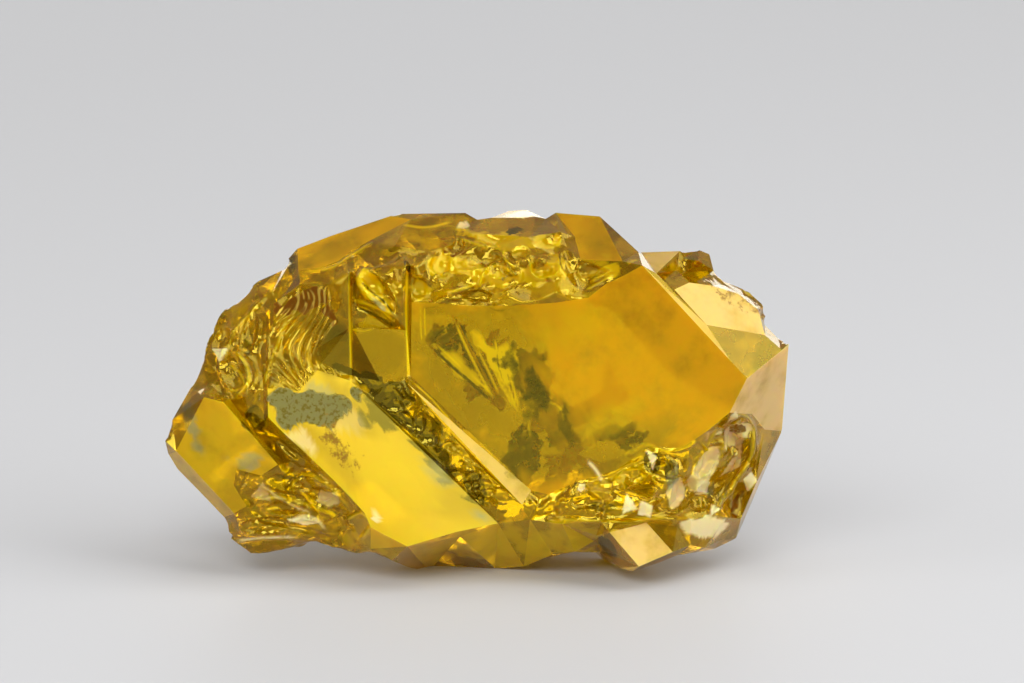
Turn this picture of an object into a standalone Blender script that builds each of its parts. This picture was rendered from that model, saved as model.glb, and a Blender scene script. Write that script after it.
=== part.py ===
"""A gemmy lump of native sulfur: parallel crystal zones grown together, with flat faces in steps and
etched and broken areas between them. The front is laid out as a plan of named corners and faces, seen square
on, and given depth. The back and the underside are flat faces in opposite pairs to the front ones."""

import math

import bmesh
import bpy
import numpy as np
from mathutils import Matrix, Vector
from mathutils.geometry import delaunay_2d_cdt

# Driving sizes in metres and degrees
CRYSTAL_WIDTH = 0.042
LEAN_DEG = 12.0

# The plan of the front is in plan units, and the crystal is PLAN_WIDTH of them wide
PLAN_WIDTH = 623.0
PLAN_CENTRE = (477.0, 391.0)
UNIT = CRYSTAL_WIDTH / PLAN_WIDTH

# Height of the flat resting face, below the middle of the plan, in plan units
REST_LEVEL = -177.0

# Broken areas: spacing of their points, its random share, gap to the drawn edges, and fade of the relief
GRAIN = 5.8
GRAIN_SCATTER = 0.3
EDGE_MARGIN = 0.45
FADE_WIDTH = 6.0
SEED = 20

# Wavy flutes on the upper left: curves that run down the plan side by side, ridge and valley in turn
FLUTE_LINES = 18
FLUTE_STEP = 3.3
FLUTE_STEP_CHANGE = 0.22
FLUTE_STEP_WAVE = 17.0
FLUTE_HEIGHT = 2.6
FLUTE_POINTS = 18
FLUTE_TOP = 284.0
FLUTE_BOTTOM = 398.0
FLUTE_START = 323.0
FLUTE_SWING = 12.0
FLUTE_CREST = 302.0
FLUTE_HALF_WAVE = 50.0
FLUTE_GAP = 2.0
FLUTE_AREA = (
    "flute_a flute_b flute_c flute_d flute_e flute_f flute_g flute_h "
    "gully_a long_left_g long_up_a long_up_b"
)

# Rings that run the rim back: scale about the middle across, above and below it, and depth behind the rim
RINGS = (
    (0.972, 0.95, 0.99, 16.0),
    (0.90, 0.84, 0.97, 70.0),
    (0.70, 0.60, 0.86, 190.0),
)
RING_SMOOTHING = 4

# Plan points closer than this are one point; a triangle with less area than this is no triangle
SAME_POINT = 1e-5
NO_AREA = 1e-9
ON_EDGE = 1e-6
FAR_AWAY = 1e9

# Broken patterns are laid out in cells of pitch 1, this many each way from the middle of an area
CELLS = 12
CELL_SCATTER = 0.45
BOWL_CURVE = 2.2
BOWL_DEPTH = 0.5
BOWL_RIDGE = 0.6
BLOCK_SLOPE = 0.55
SHELF_WAVES = ((0.45, 2.1, 0.0), (0.30, 0.9, 1.0))
ZONE_EDGE = 1.15
ZONE_FADE = 0.3

# Corners of the plan: across, down, depth towards the viewer. None takes the depth of the face it lies on.
CORNERS = {
    # outline, clockwise from the left tip
    "tip_upper": (165, 441, 46),
    "left_low": (172, 420, 42),
    "left_mid": (190, 388, 34),
    "left_high": (206, 345, 24),
    "left_top": (219, 313, 12),
    "shoulder_a": (225, 308, 10),
    "shoulder_b": (240, 298, 8),
    "shoulder_c": (254, 282, 4),
    "shoulder_d": (281, 270, 8),
    "notch": (287, 258, 4),
    "crown_left": (296, 248, 6),
    "crown_mid": (330, 235, None),
    "crown_right": (390, 215, 4),
    "crown_end": (400, 213, 3),
    "brow_right": (465, 212, 2),
    "saddle_left": (477, 219, 8),
    "saddle_mid": (491, 217, 6),
    "chip_left": (510, 209, -24),
    "chip_right": (526, 208, -26),
    "saddle_right": (546, 218, 8),
    "crest_left": (556, 212, 10),
    "crest_right": (600, 216, 30),
    "crest_foot": (638, 252, 64),
    "block_left": (641, 252.5, 58),
    "block_mid": (680, 251, 44),
    "block_right": (700, 250, 34),
    "lump_top": (710, 254, 30),
    "lump_side": (714, 270, 32),
    "rim_a": (724, 281, 36),
    "rim_b": (745, 289, 36),
    "rim_c": (762, 303, 36),
    "rim_d": (768, 316, 36),
    "rim_e": (765, 325, 44),
    "rim_f": (778, 338, 44),
    "right_top": (788, 344, None),
    "right_low": (785, 432, None),
    "flank_low": (745, 525, -14),
    "flank_end": (738, 540, -8),
    "foot_a": (716, 550, 6),
    "foot_b": (680, 555, 30),
    "foot_c": (655, 564, 52),
    "toe_a": (632, 571, 62),
    "toe_b": (619, 568, 48),
    "toe_c": (602, 552, 22),
    "sole_a": (575, 552, None),
    "sole_b": (553, 555, None),
    "sole_c": (524, 568, None),
    "sole_d": (495, 570, -6),
    "sole_e": (450, 572, None),
    "keel_a": (428, 574, None),
    "keel_b": (409, 569, None),
    "keel_c": (392, 560, 66),
    "keel_d": (371, 548, 74),
    "lip_a": (350, 554, 44),
    "lip_b": (340, 548, 44),
    "lip_c": (322, 544, 46),
    "lip_d": (311, 540, 48),
    "lip_e": (290, 549, 42),
    "lip_f": (262, 555, 36),
    "lip_g": (250, 554, 32),
    "lip_h": (228, 538, 20),
    "heel_a": (223, 518, None),
    "heel_b": (197, 491, 18),
    "heel_c": (176, 470, None),
    "tip_lower": (167, 455, None),
    # main face and its neighbours
    "main_top": (641, 266, 110.7),
    "bevel_top": (655, 274, 107),
    "bevel_low": (705, 325, 106),
    "bevel_end": (728, 360, None),
    "main_right": (745, 378, None),
    "main_foot": (728, 412, 103.6),
    "pit_left": (705, 431, None),
    "main_low_a": (680, 448, None),
    "main_low_b": (650, 445, None),
    "main_low_c": (615, 470, None),
    "main_low_d": (580, 480, None),
    "main_low_e": (548, 494, None),
    "ledge_foot": (531, 490, None),
    "ledge_head": (411, 376, 69.7),
    "main_up_a": (412, 302, None),
    "main_up_b": (432, 303, None),
    "main_up_c": (470, 306, None),
    "main_up_d": (510, 306, None),
    "main_up_e": (555, 303, None),
    "main_up_f": (588, 298, None),
    "main_up_g": (604, 285, None),
    "main_up_h": (625, 275, None),
    # right shoulder
    "right_edge": (781, 350, 73),
    "brim_a": (764, 335, None),
    "brim_b": (758, 310, None),
    "brim_c": (738, 294, 65),
    "brim_d": (712, 286, None),
    "brim_e": (688, 283, None),
    "brim_f": (673, 290, None),
    "block_low": (660, 276, 84),
    "block_in": (676, 270, 62),
    "block_out": (682, 258, 50),
    "lump_foot": (686, 272, 52),
    "lump_crown": (698, 261, 62),
    # right flank and etched pit
    "pit_top": (752, 414, None),
    "pit_right": (766, 430, None),
    "pit_side": (757, 485, 14),
    "pit_low": (742, 520, 16),
    "pit_foot": (720, 542, 20),
    "pit_in_a": (697, 452, 84),
    "pit_in_b": (690, 472, 80),
    "pit_in_c": (672, 482, 82),
    "pit_in_d": (668, 506, 84),
    # lower front edge
    "hem_a": (530, 519, 70),
    "hem_b": (562, 523, 80),
    "hem_c": (600, 520, 88),
    "hem_d": (650, 518, 90),
    "hem_e": (690, 519, 78),
    "hem_f": (712, 514, 66),
    "hem_g": (725, 517, 52),
    # toe block
    "toe_face_a": (609, 531, 98),
    "toe_face_b": (646, 522, 82),
    "toe_face_c": (672, 551, 78),
    "toe_face_d": (638, 565, None),
    "toe_side_a": (596, 535, 66),
    "toe_side_b": (594, 541, 50),
    "toe_right_a": (677, 526, 72),
    "toe_right_b": (690, 545, 58),
    "toe_right_c": (705, 548, 44),
    # ledge and the channel below it
    "ledge_foot_low": (522, 504, 80),
    "ledge_head_low": (409, 384, 80),
    "nook": (541, 498, 68),
    "terrace_left": (358, 381, 56),
    "terrace_mid": (380, 381, 62),
    "riser_b_foot": (407.5, 377, 72),
    # long bright face
    "long_top": (351, 381, 60),
    "long_right": (498, 523, 59.5),
    "long_step": (457, 531, None),
    "long_foot": (408, 545, None),
    "long_left_a": (372, 526, None),
    "long_left_b": (366, 512, None),
    "long_left_c": (338, 482, None),
    "long_left_d": (310, 455, None),
    "long_left_e": (285, 432, None),
    "long_left_f": (270, 417, 99),
    "long_left_g": (269, 388, None),
    "long_up_a": (300, 391, None),
    "long_up_b": (318, 370, None),
    "sole_ridge": (460, 536, 66),
    # gully left of the long face
    "gully_a": (265, 390, 84),
    "gully_b": (265, 420, 80),
    "gully_c": (280, 437, 80),
    "gully_d": (306, 460, 80),
    "gully_e": (286, 464, 70),
    "gully_f": (230, 398, 66),
    "gully_g": (253, 430, 66),
    # left wing
    "wing_top": (205, 397, None),
    "wing_edge_a": (225, 402, 80),
    "wing_edge_b": (279, 464, 84),
    "wing_low_a": (262, 475, None),
    "wing_low_b": (237, 469, None),
    "wing_low_c": (234, 485, None),
    "wing_low_d": (247, 506, None),
    "wing_bevel_a": (176, 451, None),
    "wing_bevel_b": (234, 513, None),
    # flutes and panes
    "flute_a": (322, 363, 64),
    "flute_b": (318, 348, 66),
    "flute_c": (335, 324, 70),
    "flute_d": (341, 300, 74),
    "flute_e": (332, 284, 70),
    "flute_f": (300, 284, 54),
    "flute_g": (276, 302, 44),
    "flute_h": (268, 335, 56),
    "riser_a_mid": (350, 328, 64),
    "riser_a_top": (350, 272, 78),
    "riser_a_mid_r": (353, 328, 56),
    "riser_a_top_r": (353, 272, 68),
    "pane_low": (352, 376, 56),
    "riser_b_mid": (407, 330, 80),
    "riser_b_top": (407, 264, 96),
    "riser_b_mid_r": (410, 330, 68),
    "riser_b_top_r": (410, 264, 84),
    # crown facets
    "crown_low_a": (298, 270, None),
    "crown_low_b": (320, 268, 46),
    "crown_low_c": (338, 261, None),
    "crown_low_d": (352, 250, None),
    "crown_low_e": (372, 239, None),
    "crown_low_f": (410, 219, None),
    "notch_low": (293, 279, 34),
    "notch_mid": (286, 267, 16),
    "shoulder_in_a": (272, 292, 36),
    "shoulder_in_b": (262, 294, 28),
    "brow_low": (462, 226, 26),
    "panel_a": (452, 245, 58),
    "panel_b": (430, 252, 66),
    "panel_c": (395, 246, 62),
    "chip_low_a": (512, 217, 8),
    "chip_low_b": (536, 216, 8),
    "band_a": (560, 232, 58),
    "band_b": (530, 237, 60),
    "band_c": (495, 235, 50),
    "band_d": (470, 233, 44),
    "olive_a": (575, 237, None),
    "olive_b": (580, 260, 82),
    "olive_c": (622, 262, None),
    # heights inside the broken areas
    "scallop_a": (440, 280, 84),
    "scallop_b": (480, 268, 80),
    "scallop_c": (520, 275, 86),
    "scallop_d": (560, 275, 96),
    "scallop_e": (430, 264, 74),
    "scallop_f": (380, 258, 70),
    "arc_a": (358, 285, 86),
    "arc_b": (396, 318, 90),
    "arc_c": (358, 307, 60),
    "arc_d": (390, 328, 66),
    "left_a": (240, 330, 40),
    "left_b": (250, 365, 58),
    "left_c": (222, 362, 46),
    "left_d": (262, 312, 36),
    "left_e": (212, 385, 52),
    "low_a": (300, 490, 66),
    "low_b": (270, 515, 58),
    "low_c": (320, 515, 64),
    "low_d": (345, 525, 58),
    "low_e": (255, 535, 48),
    "under_a": (560, 500, 88),
    "under_b": (590, 496, 84),
    "under_c": (625, 488, 96),
    "under_d": (650, 478, 86),
    "under_e": (655, 500, 98),
    "pit_lip_a": (744, 424, 44),
    "pit_lip_b": (754, 443, 34),
    "pit_lip_c": (750, 464, 30),
    "pit_lip_d": (737, 482, 36),
    "pit_lip_e": (722, 497, 46),
    "pit_lip_f": (708, 510, 58),
    "pit_bed_a": (733, 432, 30),
    "pit_bed_b": (742, 449, 20),
    "pit_bed_c": (736, 465, 20),
    "pit_bed_d": (724, 479, 28),
    "pit_bed_e": (709, 491, 40),
    "pit_rib_a": (722, 430, 62),
    "pit_rib_b": (727, 450, 54),
    "pit_rib_c": (718, 466, 56),
    "pit_rib_d": (706, 480, 64),
    "pit_rib_e": (694, 494, 70),
    "pit_out_a": (757, 462, 8),
    "pit_out_b": (745, 490, 8),
    "pit_out_c": (731, 512, 18),
}

OUTLINE = (
    "tip_upper left_low left_mid left_high left_top shoulder_a shoulder_b shoulder_c shoulder_d notch "
    "crown_left crown_mid crown_right crown_end brow_right saddle_left saddle_mid chip_left chip_right "
    "saddle_right crest_left crest_right crest_foot block_left block_mid block_right lump_top lump_side "
    "rim_a rim_b rim_c rim_d rim_e rim_f right_top right_low flank_low flank_end foot_a foot_b foot_c "
    "toe_a toe_b toe_c sole_a sole_b sole_c sole_d sole_e keel_a keel_b keel_c keel_d lip_a lip_b lip_c "
    "lip_d lip_e lip_f lip_g lip_h heel_a heel_b heel_c tip_lower"
)

# Flat faces: their corners in order, and the three corners that fix the plane
FACES = {
    "main_face": (
        "main_top bevel_end main_right main_foot pit_left main_low_a main_low_b main_low_c main_low_d "
        "main_low_e ledge_foot ledge_head main_up_a main_up_b main_up_c main_up_d main_up_e main_up_f "
        "main_up_g main_up_h",
        "main_top main_foot ledge_head",
    ),
    "edge_bevel": ("main_top bevel_top bevel_low bevel_end", "main_top bevel_top bevel_end"),
    "shoulder_face": (
        "bevel_low bevel_end main_right right_edge brim_a brim_b brim_c brim_d brim_e brim_f",
        "main_right bevel_low brim_c",
    ),
    "flank_face": (
        "main_right right_edge right_top right_low pit_right pit_top main_foot",
        "main_right main_foot right_edge",
    ),
    "long_face": (
        "long_top long_right long_step long_foot long_left_a long_left_b long_left_c long_left_d "
        "long_left_e long_left_f long_left_g long_up_a long_up_b",
        "long_top long_right long_left_f",
    ),
    "ledge": (
        "ledge_head ledge_foot ledge_foot_low ledge_head_low",
        "ledge_head ledge_foot ledge_foot_low",
    ),
    "wing_face": (
        "tip_upper left_low left_mid wing_top wing_edge_a wing_edge_b wing_low_a wing_low_b wing_low_c "
        "wing_low_d wing_bevel_b wing_bevel_a",
        "wing_edge_a wing_edge_b tip_upper",
    ),
    "wing_bevel": (
        "tip_upper wing_bevel_a wing_bevel_b heel_a heel_b heel_c tip_lower",
        "wing_bevel_a wing_bevel_b heel_b",
    ),
    "crown_face": (
        "crown_left crown_mid crown_right crown_end crown_low_f crown_low_e crown_low_d crown_low_c "
        "crown_low_b crown_low_a",
        "crown_left crown_right crown_low_b",
    ),
    "olive_face": (
        "crest_right crest_foot main_top olive_c olive_b olive_a",
        "main_top olive_b crest_right",
    ),
    "sole_right": (
        "long_right hem_a hem_b hem_c toe_side_a toe_side_b toe_c sole_a sole_b sole_c sole_d sole_e "
        "keel_a sole_ridge",
        "long_right hem_b sole_d",
    ),
    "sole_left": ("long_foot long_step sole_ridge keel_a keel_b keel_c", "long_foot long_step keel_a"),
    "toe_face": ("toe_face_a toe_face_b toe_face_c toe_face_d", "toe_face_a toe_face_b toe_face_c"),
    "pane_left": ("flute_a flute_b flute_c riser_a_mid pane_low", "flute_a riser_a_mid pane_low"),
}


# Small glassy facets without a plane of their own
FACETS = (
    "crown_left notch notch_mid notch_low crown_low_a",
    "shoulder_d notch notch_mid shoulder_in_a shoulder_in_b shoulder_c",
    "crown_end brow_right brow_low crown_low_f",
    "crown_low_f brow_low panel_a panel_b panel_c crown_low_e",
    "brow_right saddle_left band_d brow_low",
    "saddle_left saddle_mid chip_low_a chip_low_b saddle_right band_a band_b band_c band_d",
    "saddle_mid chip_left chip_low_a",
    "chip_left chip_right chip_low_b chip_low_a",
    "chip_right saddle_right chip_low_b",
    "saddle_right crest_left crest_right olive_a band_a",
    "olive_b olive_c main_top main_up_h",
    "crest_foot block_left main_top",
    "block_left block_mid block_out block_in block_low bevel_top main_top",
    "block_low block_in brim_f",
    "block_low brim_f bevel_low bevel_top",
    "block_in block_out lump_foot brim_e brim_f",
    "block_mid block_right lump_crown block_out",
    "block_right lump_top lump_side lump_crown",
    "lump_crown lump_side lump_foot block_out",
    "right_edge rim_f right_top",
    "pit_right right_low flank_low pit_side",
    "pit_side flank_low flank_end pit_low",
    "pit_low flank_end foot_a pit_foot",
    "toe_side_a toe_face_a toe_face_d toe_side_b",
    "toe_side_b toe_face_d toe_a toe_b toe_c",
    "toe_face_d toe_face_c toe_right_b foot_b foot_c toe_a",
    "toe_face_b toe_right_a toe_right_b toe_face_c",
    "hem_e hem_f hem_g toe_right_c toe_right_b toe_right_a",
    "toe_right_c toe_right_b foot_b foot_a",
    "hem_g pit_low pit_foot toe_right_c",
    "riser_a_top riser_a_top_r riser_a_mid_r pane_low riser_a_mid",
    "riser_b_top riser_b_top_r riser_b_mid_r ledge_head riser_b_foot riser_b_mid",
    "riser_a_mid_r riser_b_mid riser_b_foot terrace_mid pane_low",
    "long_left_g gully_a gully_b long_left_f",
    "long_left_f gully_b gully_c long_left_e",
    "long_left_e gully_c gully_d long_left_d",
    "gully_f wing_edge_a wing_edge_b gully_e gully_g",
    "long_left_a long_foot keel_c keel_d",
)

# Ridges and valleys that cross the broken areas
CREASES = (
    "hem_c hem_d hem_e",
    "hem_c toe_face_a",
    "main_low_e nook hem_a",
    "ledge_foot nook",
    "gully_a flute_h",
    "flute_h flute_g flute_f flute_e flute_d flute_c",
    "riser_b_top_r main_up_a",
    "arc_a arc_b",
    "arc_c arc_d",
    "pit_in_a pit_in_b pit_in_c pit_in_d",
    "pit_lip_a pit_lip_b pit_lip_c pit_lip_d pit_lip_e pit_lip_f",
    "pit_bed_a pit_bed_b pit_bed_c pit_bed_d pit_bed_e",
    "pit_rib_a pit_rib_b pit_rib_c pit_rib_d pit_rib_e",
    "under_c under_e hem_d",
    "low_a low_c low_d lip_a",
    "left_d left_a left_b gully_f",
)

# Broken areas: centre, half sizes, pattern, its pitch and its height in plan units
ZONES = (
    ((505, 268), (150, 48), "bowls", (38.0, 27.0), 17.0),
    ((228, 345), (42, 60), "bowls", (18.0, 34.0), 9.0),
    ((298, 500), (78, 54), "shelves", (30.0, 15.0), 9.0),
    ((298, 500), (70, 50), "blocks", (22.0, 16.0), 6.0),
    ((620, 488), (92, 40), "blocks", (20.0, 15.0), 12.0),
    ((722, 480), (42, 66), "blocks", (11.0, 24.0), 8.0),
    ((738, 305), (56, 52), "blocks", (13.0, 13.0), 8.0),
    ((378, 300), (30, 44), "bowls", (18.0, 14.0), 6.0),
    ((440, 440), (110, 70), "blocks", (16.0, 13.0), 9.0),
)

# Back and underside: direction across the plan, tilt towards the back, and how far the face stands in from
# the outline, in plan units
SIDE_FACES = (
    (2.0, 38.0, 1.0),
    (43.0, 34.0, 1.0),
    (76.0, 36.0, 1.0),
    (98.0, 30.0, 1.0),
    (130.0, 36.0, 1.0),
    (157.0, 40.0, 1.0),
    (186.0, 34.0, 1.0),
    (221.0, 30.0, 1.0),
    (250.0, 34.0, 1.0),
    (292.0, 36.0, 1.0),
    (336.0, 40.0, 1.0),
)

# Main faces of the back: direction, tilt, and a point of the face
BACK_FACES = (
    (45.0, 80.3, (0, 0, -134)),
    (225.0, 64.8, (-150, -80, -96)),
    (200.0, 58.0, (-210, 10, -60)),
    (80.0, 60.0, (60, 120, -100)),
    (20.0, 62.0, (220, 20, -100)),
    (300.0, 60.0, (120, -120, -100)),
)


def solve_corners():
    """Depth of every corner: given, or that of the plane of the first face that the corner lies on."""
    corners = {
        name: [across - PLAN_CENTRE[0], PLAN_CENTRE[1] - down, depth]
        for name, (across, down, depth) in CORNERS.items()
    }
    for outline, fixed in FACES.values():
        a, b, c = (np.array(corners[name], dtype=float) for name in fixed.split())
        normal = np.cross(b - a, c - a)
        for name in outline.split():
            corner = corners[name]
            if corner[2] is None:
                level = normal[0] * (corner[0] - a[0]) + normal[1] * (corner[1] - a[1])
                corner[2] = a[2] - level / normal[2]
    return corners


def inside(points, polygon):
    """Which points lie inside a polygon, by counting the crossings of a ray."""
    within = np.zeros(len(points), dtype=bool)
    for (ax, ay), (bx, by) in zip(polygon, np.roll(polygon, -1, axis=0)):
        crosses = (ay > points[:, 1]) != (by > points[:, 1])
        rise = by - ay if by != ay else 1.0
        at = ax + (points[:, 1] - ay) / rise * (bx - ax)
        within ^= crosses & (points[:, 0] < at)
    return within


def edge_distance(points, segments):
    """Distance from each point to the nearest of the segments."""
    nearest = np.full(len(points), FAR_AWAY)
    for a, b in segments:
        along = b - a
        t = np.clip((points - a) @ along / (along @ along), 0.0, 1.0)
        nearest = np.minimum(nearest, np.linalg.norm(points - a - t[:, None] * along, axis=1))
    return nearest


def cell_seeds(count, seed):
    """Centres of the cells of a broken pattern: a square grid of pitch 1, each centre moved at random."""
    rng = np.random.default_rng(seed)
    steps = np.arange(-count, count + 1.0)
    grid = np.stack(np.meshgrid(steps, steps), axis=-1).reshape(-1, 2)
    return grid + rng.uniform(-CELL_SCATTER, CELL_SCATTER, grid.shape), rng


def nearest_cell(points, seeds):
    """Index of the nearest cell centre and the distance to it."""
    distances = np.linalg.norm(points[:, None, :] - seeds[None, :, :], axis=2)
    return distances.argmin(axis=1), distances.min(axis=1)


def bowls(points):
    """Shell-like hollows that meet in sharp ridges."""
    seeds, _ = cell_seeds(CELLS, SEED)
    _, distance = nearest_cell(points, seeds)
    return np.clip(distance**2 * BOWL_CURVE - BOWL_DEPTH, -BOWL_DEPTH, BOWL_RIDGE)


def blocks(points):
    """Small tilted facets at different heights."""
    seeds, rng = cell_seeds(CELLS, SEED + 1)
    slopes = rng.normal(0.0, BLOCK_SLOPE, (len(seeds), 2))
    heights = rng.uniform(-0.5, 0.5, len(seeds))
    cell, _ = nearest_cell(points, seeds)
    return heights[cell] + ((points - seeds[cell]) * slopes[cell]).sum(axis=1)


def shelves(points):
    """Curved ledges, one below the other, each with a sharp lip."""
    phase = points[:, 1].copy()
    for swing, wave, start in SHELF_WAVES:
        phase += swing * np.sin(points[:, 0] * wave + start)
    return phase - np.floor(phase) - 0.5


PATTERNS = {"bowls": bowls, "blocks": blocks, "shelves": shelves}


def relief(points):
    """Height of the broken patterns at each point, faded out at the rim of each area."""
    total = np.zeros(len(points))
    for (across, down), (half_x, half_y), pattern, pitch, height in ZONES:
        centre = np.array((across - PLAN_CENTRE[0], PLAN_CENTRE[1] - down))
        reach = np.linalg.norm((points - centre) / (half_x, half_y), axis=1)
        weight = np.clip((ZONE_EDGE - reach) / ZONE_FADE, 0.0, 1.0)
        near = weight > 0.0
        total[near] += weight[near] * height * PATTERNS[pattern]((points[near] - centre) / pitch)
    return total


def triangulate(points, edges):
    """Triangles of the plan that keep every given edge."""
    found = delaunay_2d_cdt([Vector(p) for p in points], edges, [], 0, SAME_POINT)
    return np.array([tuple(v) for v in found[0]]), np.array(found[2])


def heights_on(points, corners, triangles, depths):
    """Depth at each point of the flat triangles between the corners."""
    result = np.zeros(len(points))
    for a, b, c in triangles:
        base = np.array((corners[b] - corners[a], corners[c] - corners[a])).T
        if abs(np.linalg.det(base)) < NO_AREA:
            continue
        weights = np.linalg.solve(base, (points - corners[a]).T)
        within = (weights[0] > -ON_EDGE) & (weights[1] > -ON_EDGE) & (weights.sum(axis=0) < 1.0 + ON_EDGE)
        rise = depths[a] + weights[0] * (depths[b] - depths[a]) + weights[1] * (depths[c] - depths[a])
        result[within] = rise[within]
    return result


def flute_lines(area, drawn):
    """Points along the wavy flutes, a list of index pairs that join them, and ridge or valley for each."""
    down = np.linspace(FLUTE_TOP, FLUTE_BOTTOM, FLUTE_POINTS)
    first = FLUTE_START + FLUTE_SWING * np.cos(math.pi * (down - FLUTE_CREST) / FLUTE_HALF_WAVE)
    spread = 1.0 + FLUTE_STEP_CHANGE * np.sin(down / FLUTE_STEP_WAVE)
    points, edges, sides = [], [], []
    for line in range(FLUTE_LINES):
        across = first - FLUTE_STEP * line * spread
        path = np.column_stack((across - PLAN_CENTRE[0], PLAN_CENTRE[1] - down))
        keep = inside(path, area) & (edge_distance(path, drawn) > FLUTE_GAP)
        last = None
        for point, kept in zip(path, keep):
            if kept:
                points.append(point)
                sides.append(1.0 if line % 2 else -1.0)
                if last is not None:
                    edges.append((last, len(points) - 1))
            last = len(points) - 1 if kept else None
    return np.array(points), edges, np.array(sides)


def build_front():
    """Points and triangles of the front."""
    solved = solve_corners()
    names = list(solved)
    index = {name: number for number, name in enumerate(names)}
    corners = np.array([solved[name][:2] for name in names], dtype=float)
    depths = np.array([solved[name][2] for name in names], dtype=float)
    loops = [OUTLINE.split()] + [face[0].split() for face in FACES.values()]
    loops += [facet.split() for facet in FACETS]
    edges = set()
    for loop in loops:
        for a, b in zip(loop, loop[1:] + loop[:1]):
            edges.add(tuple(sorted((index[a], index[b]))))
    hard = [(corners[a], corners[b]) for a, b in edges]
    for crease in CREASES:
        chain = crease.split()
        edges.update(tuple(sorted((index[a], index[b]))) for a, b in zip(chain, chain[1:]))
    edges = sorted(edges)
    drawn = [(corners[a], corners[b]) for a, b in edges]
    outline = corners[[index[name] for name in OUTLINE.split()]]
    flat = [corners[[index[name] for name in loop]] for loop in loops[1:]]

    rng = np.random.default_rng(SEED)
    steps = np.arange(-PLAN_WIDTH / 2.0, PLAN_WIDTH / 2.0, GRAIN)
    grid = np.stack(np.meshgrid(steps, steps), axis=-1).reshape(-1, 2)
    grid += rng.uniform(-GRAIN_SCATTER, GRAIN_SCATTER, grid.shape) * GRAIN
    area = corners[[index[name] for name in FLUTE_AREA.split()]]
    keep = inside(grid, outline) & ~inside(grid, area)
    for polygon in flat:
        keep &= ~inside(grid, polygon)
    grid = grid[keep]
    grid = grid[edge_distance(grid, drawn) > EDGE_MARGIN * GRAIN]
    fluted, joins, sides = flute_lines(area, drawn)

    coarse_points, coarse_triangles = triangulate(corners, edges)
    base = heights_on(grid, coarse_points, coarse_triangles, depths)
    base += relief(grid) * np.clip(edge_distance(grid, hard) / FADE_WIDTH, 0.0, 1.0)
    ribs = heights_on(fluted, coarse_points, coarse_triangles, depths) + sides * FLUTE_HEIGHT
    plan = np.vstack((corners, grid, fluted))
    depth = np.concatenate((depths, base, ribs))
    first = len(corners) + len(grid)
    edges += [(first + a, first + b) for a, b in joins]
    points, triangles = triangulate(plan, edges)
    middle = points[triangles].mean(axis=1)
    triangles = triangles[inside(middle, outline)]
    return np.column_stack((points, depth)), triangles, [index[name] for name in OUTLINE.split()]


def lean(points):
    """Plan to the upright frame: the front looks down the camera line of the plan, turned by the lean."""
    angle = math.radians(LEAN_DEG)
    across, up, out = points.T
    rows = (
        across,
        up * math.sin(angle) - out * math.cos(angle),
        up * math.cos(angle) + out * math.sin(angle),
    )
    return np.column_stack(rows) * UNIT


def smoothed(values, reach):
    """Values around a closed ring, each the mean of its neighbours within reach."""
    return np.mean([np.roll(values, step) for step in range(-reach, reach + 1)], axis=0)


def front_block():
    """The front, run back in tapering rings to a smaller flat end behind the crystal."""
    points, triangles, rim = build_front()
    count = len(rim)
    level = smoothed(points[rim, 2], RING_SMOOTHING)
    rings = [np.array(rim)]
    layers = [points]
    for across, above, below, depth in RINGS:
        ring = points[rim] * (across, 1.0, 0.0)
        ring[:, 1] *= np.where(ring[:, 1] > 0.0, above, below)
        ring[:, 2] = np.minimum(level, points[rim, 2]) - depth
        rings.append(np.arange(count) + sum(len(layer) for layer in layers))
        layers.append(ring)
    faces = [tuple(triangle) for triangle in triangles]
    for near, far in zip(rings, rings[1:]):
        for step in range(count):
            after = (step + 1) % count
            faces.append((near[step], near[after], far[after]))
            faces.append((near[step], far[after], far[step]))
    faces.append(tuple(rings[-1]))
    mesh = bpy.data.meshes.new("front_block")
    mesh.from_pydata(lean(np.vstack(layers)).tolist(), [], [[int(i) for i in face] for face in faces])
    used = bmesh.new()
    used.from_mesh(mesh)
    loose = [vert for vert in used.verts if not vert.link_faces]
    bmesh.ops.delete(used, geom=loose, context="VERTS")
    bmesh.ops.triangulate(used, faces=used.faces[:])
    bmesh.ops.recalc_face_normals(used, faces=used.faces[:])
    used.to_mesh(mesh)
    used.free()
    return mesh, points, rim


def plane_normal(direction, tilt):
    """Unit normal in the plan: its direction across the plan and its tilt towards the back."""
    turn = math.radians(direction)
    back = math.radians(tilt)
    return np.array((math.cos(turn) * math.cos(back), math.sin(turn) * math.cos(back), -math.sin(back)))


def back_hull(rim_points):
    """Convex body whose flat faces finish the sides, the back and the underside."""
    hull = bmesh.new()
    bmesh.ops.create_cube(hull, size=PLAN_WIDTH * 2.0)
    planes = []
    for direction, tilt, inset in SIDE_FACES:
        normal = plane_normal(direction, tilt)
        planes.append((normal * ((rim_points @ normal).max() - inset), normal))
    for direction, tilt, point in BACK_FACES:
        planes.append((np.array(point, dtype=float), plane_normal(direction, tilt)))
    angle = math.radians(LEAN_DEG)
    down = np.array((0.0, -math.cos(angle), -math.sin(angle)))
    planes.append((down * -REST_LEVEL, down))
    for point, normal in planes:
        geometry = hull.verts[:] + hull.edges[:] + hull.faces[:]
        cut = bmesh.ops.bisect_plane(
            hull, geom=geometry, plane_co=Vector(point), plane_no=Vector(normal), clear_outer=True
        )
        rim = [item for item in cut["geom_cut"] if isinstance(item, bmesh.types.BMEdge)]
        bmesh.ops.contextual_create(hull, geom=rim)
    bmesh.ops.recalc_face_normals(hull, faces=hull.faces[:])
    places = lean(np.array([vert.co[:] for vert in hull.verts]))
    for vert, place in zip(hull.verts, places):
        vert.co = place
    mesh = bpy.data.meshes.new("back_hull")
    hull.to_mesh(mesh)
    hull.free()
    return mesh


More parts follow.
